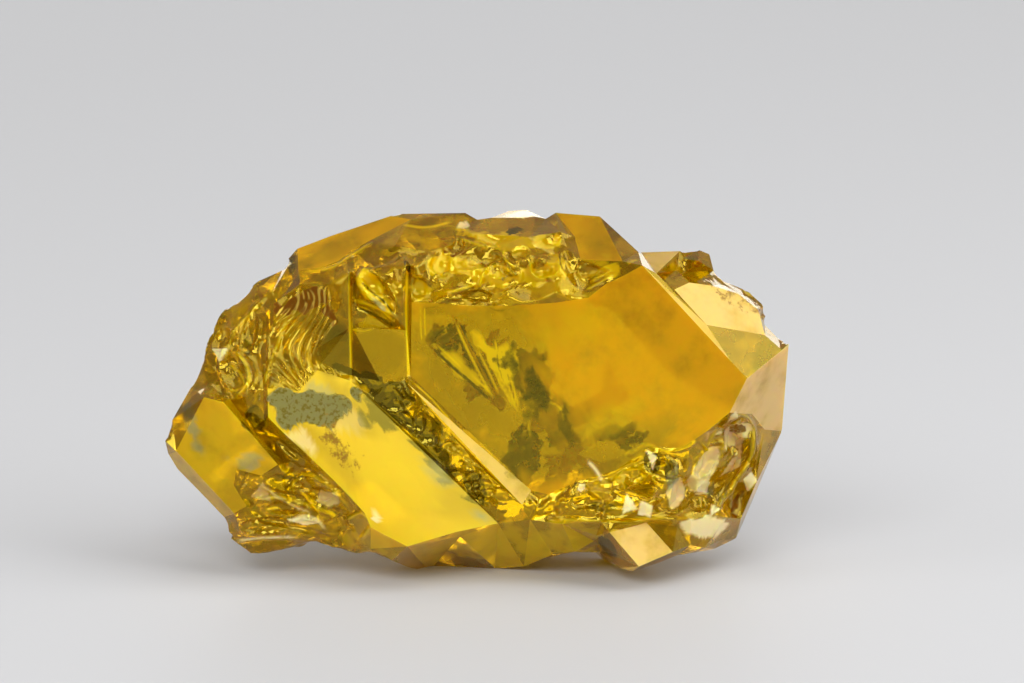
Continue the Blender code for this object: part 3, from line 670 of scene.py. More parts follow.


# Bright and pale tints on these lines are painted highlights; dark ones are painted shade in valleys and
# cracks.
STROKES = (
    # crown
    Stroke(((487, 252), (498, 255), (507, 263), (512, 272), (521, 276)), 2.0, 3.0, 1.5, Tint.DEPTH, 0.7),
    Stroke(((479, 290), (484, 276), (495, 267), (507, 269), (518, 279)), 1.8, 2.6, 0.0, Tint.FLASH, 0.8),
    Stroke(((504, 249), (505, 259), (516, 270)), 1.8, 2.4, 0.0, Tint.FLASH, 0.8),
    Stroke(((530, 260), (533, 273), (542, 277), (553, 276)), 2.0, 2.4, 0.0, Tint.FLASH, 0.8),
    Stroke(((588, 279), (602, 269), (619, 263)), 1.8, 2.2, 0.0, Tint.FLASH, 0.7),
    Stroke(((588, 284), (604, 274), (622, 268)), 1.8, 2.2, 0.0, Tint.FLASH, 0.7),
    Stroke(((584, 291), (602, 281), (612, 276)), 1.8, 2.0, 0.0, Tint.FLASH, 0.6),
    Stroke(((442, 293), (459, 290), (476, 284), (484, 279)), 2.0, 2.4, 0.0, Tint.FLASH, 0.6),
    Stroke(((435, 301), (456, 298), (479, 301), (498, 311), (523, 305)), 2.0, 1.8, 1.5, Tint.DEPTH, 0.6),
    Stroke(((400, 224), (425, 227), (453, 221)), 1.8, 1.6, 0.0, Tint.FLASH, 0.7),
    Stroke(((460, 238), (478, 245), (490, 250)), 1.8, 1.6, 0.0, Tint.FLASH, 0.6),
    Stroke(((559, 252), (560, 262), (562, 272)), 1.4, 1.6, 0.0, Tint.DEPTH, 0.7),
    Stroke(((564, 252), (565, 262), (566, 271)), 1.4, 1.6, 0.0, Tint.DEPTH, 0.6),
    Stroke(((300, 272), (330, 268), (350, 256), (375, 240)), 2.0, 1.6, 1.6, Tint.FLASH, 0.6),
    # risers and panes
    Stroke(((350, 274), (350, 310), (351, 360), (351, 402)), 1.5, 1.4, 0.0, Tint.FLASH, 1.0),
    Stroke(((408, 262), (407, 310), (408, 350), (409, 378)), 1.6, 1.4, 0.0, Tint.FLASH, 1.0),
    Stroke(((421, 306), (421, 324), (422, 342)), 1.2, 0.8, 0.0, Tint.FLASH, 0.9),
    Stroke(((425, 306), (425, 322), (426, 338)), 1.2, 0.8, 0.0, Tint.FLASH, 0.9),
    Stroke(((360, 280), (372, 292), (386, 303), (398, 320)), 2.0, 3.0, 3.0, Tint.DEPTH, 0.8),
    Stroke(((355, 308), (368, 312), (384, 320), (396, 328)), 2.4, 2.0, 2.0, Tint.DEPTH, 0.9),
    Stroke(((352, 300), (366, 304), (382, 311), (394, 322)), 2.2, 2.4, 0.0, Tint.FLASH, 1.0),
    Stroke(((349, 329), (365, 331), (374, 328)), 1.3, 1.2, 0.0, Tint.FLASH, 0.8),
    # left side
    Stroke(((232, 350), (246, 363), (250, 381), (237, 397)), 2.0, 3.0, 0.0, Tint.FLASH, 0.8),
    Stroke(((228, 363), (239, 372), (244, 386), (226, 393)), 1.8, 2.6, 0.0, Tint.FLASH, 0.7),
    Stroke(((237, 347), (252, 360), (257, 378), (246, 400)), 1.8, 2.4, 0.0, Tint.DEPTH, 0.6),
    Stroke(((287, 318), (275, 352), (255, 404), (241, 421)), 2.2, 2.6, 1.5, Tint.FLASH, 0.5),
    Stroke(((266, 296), (235, 332), (223, 363)), 2.2, 2.6, 1.5, Tint.FLASH, 0.5),
    Stroke(((252, 330), (250, 344), (247, 358)), 3.5, -2.0, 0.0, Tint.DEPTH, 0.7),
    Stroke(((252, 402), (262, 428), (285, 449), (300, 462)), 2.0, 2.0, 1.0, Tint.DEPTH, 0.6),
    # lower left ledges
    Stroke(((235, 542), (260, 538), (300, 537)), 1.8, 2.4, 0.0, Tint.CREAM, 0.9),
    Stroke(((287, 522), (305, 516), (318, 520), (327, 531)), 2.2, 2.6, 1.5, Tint.CREAM, 0.9),
    Stroke(((260, 499), (282, 497), (318, 508), (341, 517)), 2.2, 3.0, 2.0, Tint.FLASH, 0.7),
    Stroke(((257, 481), (287, 502), (314, 513)), 2.0, 2.4, 0.0, Tint.CREAM, 0.6),
    Stroke(((287, 492), (305, 474), (332, 486), (355, 514)), 2.2, 2.8, 2.0, Tint.FLASH, 0.6),
    Stroke(((275, 474), (291, 478), (307, 475)), 2.4, -2.0, 0.0, Tint.DEPTH, 0.8),
    Stroke(((240, 528), (262, 524), (292, 529), (318, 536)), 2.2, 2.6, 2.0, Tint.DEPTH, 0.6),
    Stroke(((345, 521), (362, 512), (372, 524), (360, 540)), 2.0, 2.6, 0.0, Tint.FLASH, 0.7),
    # feather of cracks seen under the main face
    Stroke(((430, 345), (452, 366), (474, 385), (492, 402)), 2.4, 0.0, 0.0, Tint.DEPTH, 0.9),
    Stroke(((434, 342), (456, 362), (478, 381), (496, 398)), 1.5, 0.0, 0.0, Tint.FLASH, 1.0),
    Stroke(((455, 321), (466, 346), (480, 374), (494, 400)), 1.6, 0.0, 0.0, Tint.FLASH, 1.0),
    Stroke(((458, 318), (470, 343), (485, 371), (498, 397)), 1.4, 0.0, 0.0, Tint.DEPTH, 0.8),
    Stroke(((430, 345), (440, 333), (455, 321)), 1.4, 0.0, 0.0, Tint.DEPTH, 0.8),
    Stroke(((532, 445), (529, 420), (542, 402), (560, 408), (565, 430)), 1.8, 0.0, 0.0, Tint.FLASH, 0.7),
    Stroke(((520, 348), (500, 372), (520, 415)), 1.8, 0.0, 0.0, Tint.FLASH, 0.8),
    Stroke(((478, 350), (488, 370), (500, 396)), 1.6, 0.0, 0.0, Tint.FLASH, 0.9),
    Stroke(((486, 344), (493, 366), (503, 392)), 1.4, 0.0, 0.0, Tint.FLASH, 0.9),
    Stroke(((512, 344), (504, 366), (506, 390)), 1.6, 0.0, 0.0, Tint.FLASH, 0.9),
    Stroke(((498, 340), (498, 362), (504, 384)), 1.2, 0.0, 0.0, Tint.DEPTH, 0.7),
    Stroke(((506, 338), (509, 368), (519, 410)), 1.6, 0.0, 0.0, Tint.FLASH, 1.0),
    Stroke(((494, 336), (502, 368), (517, 410)), 1.6, 0.0, 0.0, Tint.FLASH, 1.0),
    Stroke(((482, 338), (495, 372), (514, 408)), 1.6, 0.0, 0.0, Tint.FLASH, 1.0),
    Stroke(((500, 344), (508, 376), (518, 412)), 1.0, 0.0, 0.0, Tint.DEPTH, 0.6),
    # ledge and channel
    Stroke(((411, 380), (431, 398), (446, 415), (462, 432)), 1.3, 0.0, 0.0, Tint.FLASH, 0.9),
    Stroke(((436, 452), (444, 440), (450, 425), (445, 410)), 1.3, 1.4, 0.0, Tint.FLASH, 0.8),
    Stroke(((463, 480), (470, 498)), 1.4, 1.2, 0.0, Tint.FLASH, 0.9),
    Stroke(((471, 476), (478, 500)), 1.4, 1.2, 0.0, Tint.FLASH, 0.9),
    Stroke(((479, 476), (486, 502)), 1.4, 1.2, 0.0, Tint.FLASH, 0.9),
    # lower right breaks
    Stroke(((560, 518), (598, 520), (640, 518), (673, 515)), 2.4, 3.0, 2.0, Tint.FLASH, 0.6),
    Stroke(((618, 454), (632, 450), (647, 444), (664, 450), (682, 447), (696, 440)), 2.2, 2.8, 0.0,
           Tint.FLASH, 0.7),
    Stroke(((640, 467), (655, 473), (676, 482)), 2.0, 2.6, 1.5, Tint.DEPTH, 0.7),
    Stroke(((698, 439), (707, 454), (698, 473), (696, 480)), 1.8, 2.4, 0.0, Tint.FLASH, 0.7),
    Stroke(((704, 451), (719, 442), (721, 454), (707, 473), (710, 482)), 1.8, 2.4, 0.0, Tint.DEPTH, 0.6),
    Stroke(((725, 422), (739, 413), (751, 421), (754, 439), (750, 459), (731, 488), (715, 512)), 2.4, 3.4,
           0.0, Tint.FLASH, 0.5),
    Stroke(((741, 430), (745, 440), (733, 451), (738, 459)), 1.8, 2.4, 0.0, Tint.DEPTH, 0.8),
    Stroke(((751, 462), (736, 482), (719, 503)), 1.8, 2.4, 0.0, Tint.DEPTH, 0.6),
    Stroke(((587, 460), (596, 470), (602, 481)), 2.2, 2.4, 0.0, Tint.CREAM, 1.0),
    Stroke(((676, 484), (674, 497), (671, 509)), 2.2, 2.0, 0.0, Tint.CREAM, 0.7),
    Stroke(((570, 495), (576, 480), (581, 466)), 1.8, 2.0, 0.0, Tint.DEPTH, 0.8),
    Stroke(((664, 458), (670, 470), (678, 482)), 2.6, -2.0, 0.0, Tint.DEPTH, 0.9),
)


WASHES = (
    # clear window of the main face, and painted dull green shade on it and elsewhere
    Wash(Tint.CLEAR, (478, 358), (66, 54), 25.0, 0.85, 0.25, 0.6),
    Wash(Tint.CLEAR, (520, 430), (70, 45), 20.0, 0.8, 0.3, 0.6),
    Wash(Tint.CLEAR, (600, 450), (80, 26), -12.0, 0.7, 0.3, 0.6),
    Wash(Tint.OLIVE_SHADE, (460, 400), (70, 55), 40.0, 0.7, 0.3, 0.9),
    Wash(Tint.OLIVE_SHADE, (560, 452), (110, 34), -8.0, 0.5, 0.3, 0.9),
    Wash(Tint.OLIVE_SHADE, (520, 330), (60, 26), 0.0, 0.35, 0.3, 0.9),
    Wash(Tint.OLIVE_SHADE, (608, 240), (26, 22), 30.0, 0.45, 0.2, 0.8),
    Wash(Tint.OLIVE_SHADE, (334, 350), (18, 28), 0.0, 0.9, 0.1, 0.4),
    Wash(Tint.OLIVE_SHADE, (379, 352), (30, 26), 0.0, 0.7, 0.1, 0.4),
    Wash(Tint.OLIVE_SHADE, (286, 451), (22, 11), 10.0, 0.9, 0.1, 0.4),
    Wash(Tint.OLIVE_SHADE, (330, 250), (40, 10), -30.0, 0.5, 0.2, 0.8),
    Wash(Tint.OLIVE_SHADE, (318, 440), (60, 10), 47.0, 0.40, 0.5, 0.9),
    Wash(Tint.OLIVE_SHADE, (350, 408), (36, 20), 42.0, 0.60, 0.5, 0.9),
    Wash(Tint.OLIVE_SHADE, (452, 505), (40, 14), 10.0, 0.35, 0.5, 0.9),
    # painted shade: dark places inside the crystal and in the breaks
    Wash(Tint.DEPTH, (527, 378), (18, 30), -10.0, 0.75, 0.8, 0.6),
    Wash(Tint.DEPTH, (518, 462), (16, 22), 10.0, 0.6, 0.8, 0.6),
    Wash(Tint.DEPTH, (568, 430), (10, 20), 0.0, 0.65, 0.8, 0.6),
    Wash(Tint.DEPTH, (622, 437), (20, 11), 10.0, 0.5, 0.6, 0.8),
    Wash(Tint.DEPTH, (445, 336), (16, 14), -40.0, 0.45, 0.5, 0.8),
    Wash(Tint.DEPTH, (391, 402), (32, 24), 50.0, 1.0, 0.7, 0.4),
    Wash(Tint.DEPTH, (430, 448), (30, 18), 48.0, 1.0, 0.7, 0.4),
    Wash(Tint.DEPTH, (466, 478), (34, 12), 46.0, 0.8, 0.9, 0.4),
    Wash(Tint.DEPTH, (344, 369), (14, 5), 20.0, 1.0, 0.2, 0.4),
    Wash(Tint.DEPTH, (372, 378), (14, 5), 10.0, 1.0, 0.4, 0.4),
    Wash(Tint.DEPTH, (258, 420), (13, 12), 30.0, 0.9, 0.5, 0.4),
    Wash(Tint.DEPTH, (280, 372), (12, 16), 30.0, 0.6, 0.9, 0.4),
    Wash(Tint.DEPTH, (671, 468), (8, 15), 0.0, 0.9, 0.5, 0.4),
    Wash(Tint.DEPTH, (652, 460), (8, 9), 0.0, 0.9, 0.5, 0.4),
    Wash(Tint.DEPTH, (604, 506), (15, 5), 5.0, 0.7, 0.3, 0.4),
    Wash(Tint.DEPTH, (607, 546), (7, 14), -40.0, 0.9, 0.3, 0.4),
    Wash(Tint.DEPTH, (517, 228), (9, 4), 0.0, 0.9, 0.9, 0.4),
    Wash(Tint.DEPTH, (408, 266), (3, 7), -20.0, 1.0, 0.4, 0.4),
    Wash(Tint.DEPTH, (291, 263), (5, 12), 0.0, 0.7, 0.2, 0.4),
    # painted light: bright inner flashes, and brighter yellow on dim faces
    Wash(Tint.FLASH, (372, 288), (10, 18), -35.0, 1.0, 0.3, 0.4),
    Wash(Tint.FLASH, (386, 306), (12, 10), 40.0, 0.8, 0.4, 0.4),
    Wash(Tint.FLASH, (402, 480), (44, 24), 45.0, 0.9, 0.25, 0.8),
    Wash(Tint.FLASH, (503, 366), (25, 42), -22.0, 1.0, 0.55, 0.4, 3),
    Wash(Tint.FLASH, (501, 282), (16, 9), -20.0, 0.8, 0.9, 0.4, 4),
    Wash(Tint.FLASH, (440, 266), (10, 13), 0.0, 0.8, 0.9, 0.4, 5),
    Wash(Tint.FLASH, (418, 288), (10, 12), 0.0, 0.8, 0.9, 0.4, 4),
    Wash(Tint.FLASH, (557, 240), (4, 6), 0.0, 0.9, 0.3, 0.5),
    Wash(Tint.FLASH, (610, 268), (20, 10), -20.0, 0.7, 0.8, 0.5, 4),
    Wash(Tint.FLASH, (540, 272), (30, 12), -8.0, 0.7, 0.9, 0.4, 5),
    Wash(Tint.FLASH, (470, 270), (26, 12), 20.0, 0.7, 0.9, 0.4, 5),
    Wash(Tint.FLASH, (500, 240), (40, 10), 4.0, 0.6, 0.9, 0.4, 5),
    Wash(Tint.FLASH, (205, 455), (30, 34), 30.0, 0.5, 0.4, 0.9),
    Wash(Tint.FLASH, (640, 470), (30, 14), -20.0, 0.5, 0.6, 0.6),
    Wash(Tint.FLASH, (612, 420), (34, 14), -30.0, 0.55, 0.9, 0.8),
    Wash(Tint.FLASH, (570, 330), (40, 16), -20.0, 0.35, 0.9, 0.9),
    Wash(Tint.FLASH, (470, 540), (110, 18), 2.0, 0.55, 0.8, 0.8),
    Wash(Tint.FLASH, (575, 535), (40, 10), 0.0, 0.45, 0.8, 0.8),
    Wash(Tint.FLASH, (462, 368), (24, 7), 42.0, 0.8, 0.8, 0.5),
    # painted glints and highlights on the breaks, pale and grey
    Wash(Tint.CREAM, (523, 213), (17, 6), -6.0, 1.0, 0.25, 0.2, 4),
    Wash(Tint.CREAM, (464, 224), (7, 4), 0.0, 0.8, 0.25, 0.2, 5),
    Wash(Tint.CREAM, (627, 505), (9, 15), 15.0, 1.0, 0.3, 0.25, 3),
    Wash(Tint.CREAM, (645, 509), (9, 10), -30.0, 1.0, 0.3, 0.25, 4),
    Wash(Tint.CREAM, (581, 487), (6, 7), 20.0, 1.0, 0.3, 0.25, 5),
    Wash(Tint.CREAM, (651, 457), (5, 11), -20.0, 1.0, 0.3, 0.25, 3),
    Wash(Tint.CREAM, (675, 494), (10, 20), 15.0, 0.75, 0.3, 0.25, 4),
    Wash(Tint.CREAM, (705, 468), (12, 32), 25.0, 0.75, 0.5, 0.25, 5),
    Wash(Tint.CREAM, (735, 462), (8, 26), 35.0, 0.75, 0.3, 0.25, 3),
    Wash(Tint.CREAM, (736, 434), (18, 15), -30.0, 0.8, 0.5, 0.3, 5),
    Wash(Tint.CREAM, (751, 481), (8, 12), 10.0, 0.9, 0.3, 0.25, 4),
    Wash(Tint.CREAM, (702, 526), (28, 12), -5.0, 1.0, 0.3, 0.25, 5),
    Wash(Tint.CREAM, (714, 509), (7, 7), 0.0, 1.0, 0.3, 0.25, 3),
    Wash(Tint.CREAM, (703, 488), (12, 9), -40.0, 0.9, 0.3, 0.25, 4),
    Wash(Tint.SHEEN, (672, 476), (6, 14), 20.0, 0.7, 0.4, 0.4, 4),
    Wash(Tint.SHEEN, (722, 496), (6, 16), 30.0, 0.6, 0.4, 0.4, 4),
    Wash(Tint.CREAM, (220, 353), (10, 8), -30.0, 0.9, 0.25, 0.2, 3),
    Wash(Tint.CREAM, (304, 521), (17, 5), 5.0, 1.0, 0.25, 0.2, 4),
    Wash(Tint.CREAM, (329, 498), (14, 10), 20.0, 0.6, 0.25, 0.2, 5),
    Wash(Tint.CREAM, (262, 493), (12, 11), 40.0, 0.5, 0.25, 0.2, 3),
    Wash(Tint.CREAM, (378, 517), (6, 5), 0.0, 0.8, 0.25, 0.2, 4),
    Wash(Tint.CREAM, (336, 415), (31, 15), 40.0, 0.22, 0.5, 0.5, 5),
    Wash(Tint.CREAM, (306, 440), (29, 12), 45.0, 0.5, 0.25, 0.2, 3),
    # tarnish and rust, a painted shade among the rust, and a grey sheen that is partly thin film and partly
    # painted reflection
    Wash(Tint.TARNISH, (303, 407), (36, 20), 12.0, 1.0, 0.35, 0.3),
    Wash(Tint.TARNISH, (338, 405), (12, 12), 50.0, 0.6, 0.6, 0.5),
    Wash(Tint.TARNISH, (357, 393), (9, 6), 40.0, 0.7, 0.4, 0.4),
    Wash(Tint.DEPTH, (306, 298), (15, 12), 0.0, 0.7, 0.9, 0.5),
    Wash(Tint.RUST, (305, 299), (22, 18), 0.0, 0.85, 0.9, 0.8),
    Wash(Tint.RUST, (457, 247), (16, 10), 20.0, 0.6, 0.9, 0.6),
    Wash(Tint.RUST, (740, 505), (6, 16), 25.0, 0.9, 0.6, 0.5),
    Wash(Tint.RUST, (737, 428), (10, 6), 20.0, 0.7, 0.6, 0.5),
    Wash(Tint.RUST, (735, 295), (34, 12), 24.0, 0.55, 0.6, 0.6),
    Wash(Tint.RUST, (700, 266), (12, 10), 0.0, 0.6, 0.6, 0.6),
    Wash(Tint.RUST, (206, 388), (14, 8), 0.0, 0.6, 0.8, 0.6),
    Wash(Tint.RUST, (340, 446), (36, 22), 45.0, 0.58, 0.5, 0.9),
    Wash(Tint.SHEEN, (193, 432), (7, 22), -20.0, 0.7, 0.9, 0.5),
    Wash(Tint.SHEEN, (254, 460), (20, 8), -15.0, 0.7, 0.9, 0.5),
    Wash(Tint.SHEEN, (434, 472), (14, 9), 45.0, 0.6, 0.4, 0.5),
    Wash(Tint.SHEEN, (484, 518), (9, 5), 20.0, 0.8, 0.4, 0.5),
    Wash(Tint.SHEEN, (318, 393), (20, 12), 40.0, 0.6, 0.5, 0.5),
    Wash(Tint.SHEEN, (711, 490), (4, 9), 20.0, 1.0, 0.3, 0.4),
    Wash(Tint.SHEEN, (380, 305), (10, 3), 45.0, 0.7, 0.4, 0.4),
)


@dataclass
class SulfurLump:
    """The whole crystal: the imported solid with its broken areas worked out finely.

    Sizes are in metres, and in photo pixels where the name ends in px. A tilt is how far a face turns to the
    camera, from 1 when square on to 0 when edge on, and below 0 when it turns away.
    """

    plan: Plan
    finest_m: float = 0.00013
    flat_front_m2: float = 0.7e-6
    flat_back_m2: float = 9.0e-6
    splits: tuple[float, ...] = (24.0, 12.0, 6.0, 3.0)
    rough_split: float = 1.3
    line_splits: int = 2
    line_widths: float = 2.5
    smooth_rounds: int = 18
    smooth_pull: float = 0.5
    fade_rounds: int = 8
    fade_pull: float = 0.9
    back_relief_px: float = 3.0
    etch_sizes_px: tuple[float, ...] = (26.0, 11.0, 5.0)
    one_face_deg: float = 0.6
    sharp_deg: float = 42.0
    front_tilt: float = 0.08
    seen_tilt: float = -0.2
    relief_tilt: float = 0.3
    tint_tilts: tuple[float, float] = (-0.05, 0.15)
    spot_tilt: float = 0.02
    warp_size_px: float = 22.0
    warp_px: float = 9.0
    bowl_curve: float = 2.4
    bowl_floor: float = 0.7
    bowl_top: float = 0.8
    cell_rise: float = 0.5
    cell_edge: float = 4.0
    flutes: Flutes = Flutes()

    def broken_relief(self, front: Front, places: np.ndarray) -> np.ndarray:
        """Height of the small shell-like breaks, in plan units.

        Each area is a net of warped cells. The height is the square of the distance to the cell's middle, so
        that cells are bowls and meet in ridges, and each cell stands a little higher or lower than the next.

        Args:
            front: the points seen square on.
            places: (n, 3) plan points.

        Returns:
            (n,) heights.
        """
        scaled = places / self.warp_size_px
        warp = np.stack([lattice_noise(scaled, SEED + step) for step in range(2)], axis=1)
        total = np.zeros(len(places))
        for number, area in enumerate(BROKEN_AREAS):
            cells = (places[:, :2] + warp * self.warp_px) / area.pitch
            nearest, second, mark = cell_distances(cells, SEED + number)
            bowl = np.clip(nearest**2 * self.bowl_curve - self.bowl_floor, -self.bowl_floor, self.bowl_top)
            rise = self.cell_rise * mark * np.clip((second - nearest) * self.cell_edge, 0.0, 1.0)
            total += area.weight(front) * (bowl + rise) * area.height
        return total

    def under_lines(self, net: TriangleNet) -> np.ndarray:
        """Which triangles lie under a tinted line, so that it can be drawn sharply.

        Args:
            net: the surface.

        Returns:
            For each triangle, whether it is on a flat front face with its middle near a line.
        """
        middles = self.plan.to_plan(net.points[net.faces].mean(axis=1))
        front = Front.of_places(self.plan, middles)
        facing = net.face_normals() @ self.plan.axes[2] > self.front_tilt
        found = np.zeros(len(net.faces), dtype=bool)
        for stroke in STROKES:
            picked, distance, _ = stroke.near(front)
            found[picked[np.abs(distance) < self.line_widths * stroke.width]] = True
        return found & facing & ~net.rough

    def carve(self) -> TriangleNet:
        """Splits the front finely, and gives the parts that aren't flat their relief.

        The points of those parts are drawn to the mean of their neighbours, then moved along their normals.
        Where they face the camera the breaks, flutes and lines move them, elsewhere a sum of lattice noises.

        Returns:
            The finished surface.
        """
        net = TriangleNet.of_node(CRYSTAL_NODE)
        net.group_facets(self.one_face_deg)
        facing_front = net.face_normals() @ self.plan.axes[2] > self.front_tilt
        net.rough = net.facet_areas() < np.where(facing_front, self.flat_front_m2, self.flat_back_m2)
        chosen = net.rough | facing_front
        for longest in self.splits:
            chosen = net.split_edges(self.finest_m * longest, chosen)
        seen = net.face_normals() @ self.plan.axes[2] > self.seen_tilt
        net.split_edges(self.finest_m * self.rough_split, net.rough & seen)
        for _ in range(self.line_splits):
            net.split_edges(self.finest_m, self.under_lines(net))
        free = np.ones(len(net.points), dtype=bool)
        free[net.faces[~net.rough].ravel()] = False
        net.points = net.relaxed(net.points, free, self.smooth_rounds, self.smooth_pull)
        fade = net.relaxed(free[:, None].astype(float), free, self.fade_rounds, self.fade_pull)[:, 0]
        normals = net.point_normals()
        places = self.plan.to_plan(net.points)
        front = Front.of_places(self.plan, places)
        facing = np.clip((normals @ self.plan.axes[2]) / self.relief_tilt, 0.0, 1.0)
        relief = self.broken_relief(front, places) + self.flutes.height(front, places)
        relief += sum(feature.height(front) for feature in SHELL_BREAKS + STROKES)
        sizes = self.etch_sizes_px
        etched = sum(
            lattice_noise(places / size, ETCH_SEED + step) * size for step, size in enumerate(sizes)
        )
        relief = facing * relief + (1.0 - facing) * etched * self.back_relief_px / sizes[0]
        net.points = net.points + normals * (relief * fade * self.plan.unit_m)[:, None]
        low, high = (np.array(corner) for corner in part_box(CRYSTAL_NODE))
        net.points = np.clip(net.points, low, high)
        return net

    def tints(self, net: TriangleNet) -> dict[str, np.ndarray]:
        """How much of each tint lies at each point, the strongest of its washes and strokes.

        Args:
            net: the finished surface.

        Returns:
            Attribute name to (n,) amounts.
        """
        front = Front.of_places(self.plan, self.plan.to_plan(net.points))
        none, full = self.tint_tilts
        facing = np.clip((net.point_normals() @ self.plan.axes[2] - none) / (full - none), 0.0, 1.0)
        amounts = {tint.value: np.zeros(len(net.points)) for tint in Tint}
        for mark in WASHES + tuple(stroke for stroke in STROKES if stroke.tint):
            name = mark.tint.value
            amounts[name] = np.maximum(amounts[name], mark.amount(front) * facing)
        return amounts

    def finish_values(self, net: TriangleNet) -> np.ndarray:
        """Bloom, haze and glow of each triangle, taken from the finish of its flat face. The glow is painted
        light and the bloom partly a painted reflection.

        Args:
            net: the finished surface.

        Returns:
            (faces, 3) values.
        """
        values = np.zeros((len(net.faces), 3))
        places = self.plan.to_plan(net.points)
        a, b, c = (places[net.faces[:, corner]] for corner in range(3))
        facing = net.face_normals() @ self.plan.axes[2] > self.spot_tilt
        for face_spot in FACE_SPOTS:
            spot = self.plan.spot(*face_spot.at_px)[:2]
            sides = [
                (q[:, 0] - p[:, 0]) * (spot[1] - p[:, 1]) - (q[:, 1] - p[:, 1]) * (spot[0] - p[:, 0])
                for p, q in ((a, b), (b, c), (c, a))
            ]
            under = facing & np.all(np.array(sides) >= 0.0, axis=0)
            if not under.any():
                LOG.warning("no face at %s", face_spot.at_px)
                continue
            hit = np.flatnonzero(under)[a[under, 2].argmax()]
            values[net.facets == net.facets[hit]] = face_spot.finish.value
        return values

    def build(self, finish: "SulfurFinish") -> bpy.types.Object:
        """Makes the crystal's piece and dresses it.

        Args:
            finish: the crystal's finish.

        Returns:
            The piece.
        """
        net = self.carve()
        mesh = net.to_mesh("sulfur_lump")
        values = self.finish_values(net)
        for number, name in enumerate(("bloom_and_shine", "haze", "painted_glow")):
            layer = mesh.attributes.new(name, "FLOAT", "FACE")
            layer.data.foreach_set("value", values[:, number].astype(np.float32))
        for name, amounts in self.tints(net).items():
            layer = mesh.attributes.new(name, "FLOAT", "POINT")
            layer.data.foreach_set("value", amounts.astype(np.float32))
        mesh.shade_smooth()
        mesh.set_sharp_from_angle(angle=math.radians(self.sharp_deg))
        mesh.polygons.foreach_set("use_smooth", net.rough)
        piece = bpy.data.objects.new("sulfur_lump", mesh)
        bpy.context.scene.collection.objects.link(piece)
        mesh.materials.append(finish.material())
        return piece


@dataclass
class NodeBench:
    """A material's node tree with short calls for the nodes that the finishes use."""

    material: bpy.types.Material

    def add(self, kind: str, **inputs: object) -> bpy.types.Node:
        """Adds a node and sets or links its named inputs.

        Args:
            kind: the node's type name.
            inputs: socket names, with _ for a space, and their values or output sockets.

        Returns:
            The new node.
        """
        node = self.material.node_tree.nodes.new(kind)
        for name, value in inputs.items():
            self.join(node.inputs[name.replace("_", " ")], value)
        return node

    def join(self, socket: bpy.types.NodeSocket, value: object) -> None:
        """Links an output to a socket, or sets the socket's value."""
        if isinstance(value, bpy.types.NodeSocket):
            self.material.node_tree.links.new(value, socket)
        else:
            socket.default_value = value

    def attribute(self, name: str) -> bpy.types.NodeSocket:
        """A mesh attribute as a number."""
        node = self.add("ShaderNodeAttribute")
        node.attribute_name = name
        return node.outputs["Fac"]

    def sums(self, operation: str, first: object, second: object = 0.0) -> bpy.types.NodeSocket:
        """A clamped Math node."""
        node = self.add("ShaderNodeMath")
        node.operation = operation
        node.use_clamp = True
        self.join(node.inputs[0], first)
        self.join(node.inputs[1], second)
        return node.outputs[0]

    def noise(
        self, vector: object, scale: float, detail: float = 3.0, rough: float = 0.55
    ) -> bpy.types.NodeSocket:
        """Noise between 0 and 1."""
        node = self.add("ShaderNodeTexNoise", Vector=vector, Scale=scale, Detail=detail, Roughness=rough)
        return node.outputs["Fac"]

    def ramp(self, value: object, low: float, high: float) -> bpy.types.NodeSocket:
        """A value stretched so that low becomes 0 and high becomes 1."""
        node = self.add("ShaderNodeMapRange")
        node.interpolation_type = "SMOOTHSTEP"
        self.join(node.inputs["Value"], value)
        node.inputs["From Min"].default_value = low
        node.inputs["From Max"].default_value = high
        return node.outputs["Result"]

    def mix(self, share: object, first: object, second: object) -> bpy.types.NodeSocket:
        """A colour between two colours."""
        node = self.add("ShaderNodeMix")
        node.data_type = "RGBA"
        self.join(node.inputs[0], share)
        self.join(node.inputs[6], first)
        self.join(node.inputs[7], second)
        return node.outputs[2]


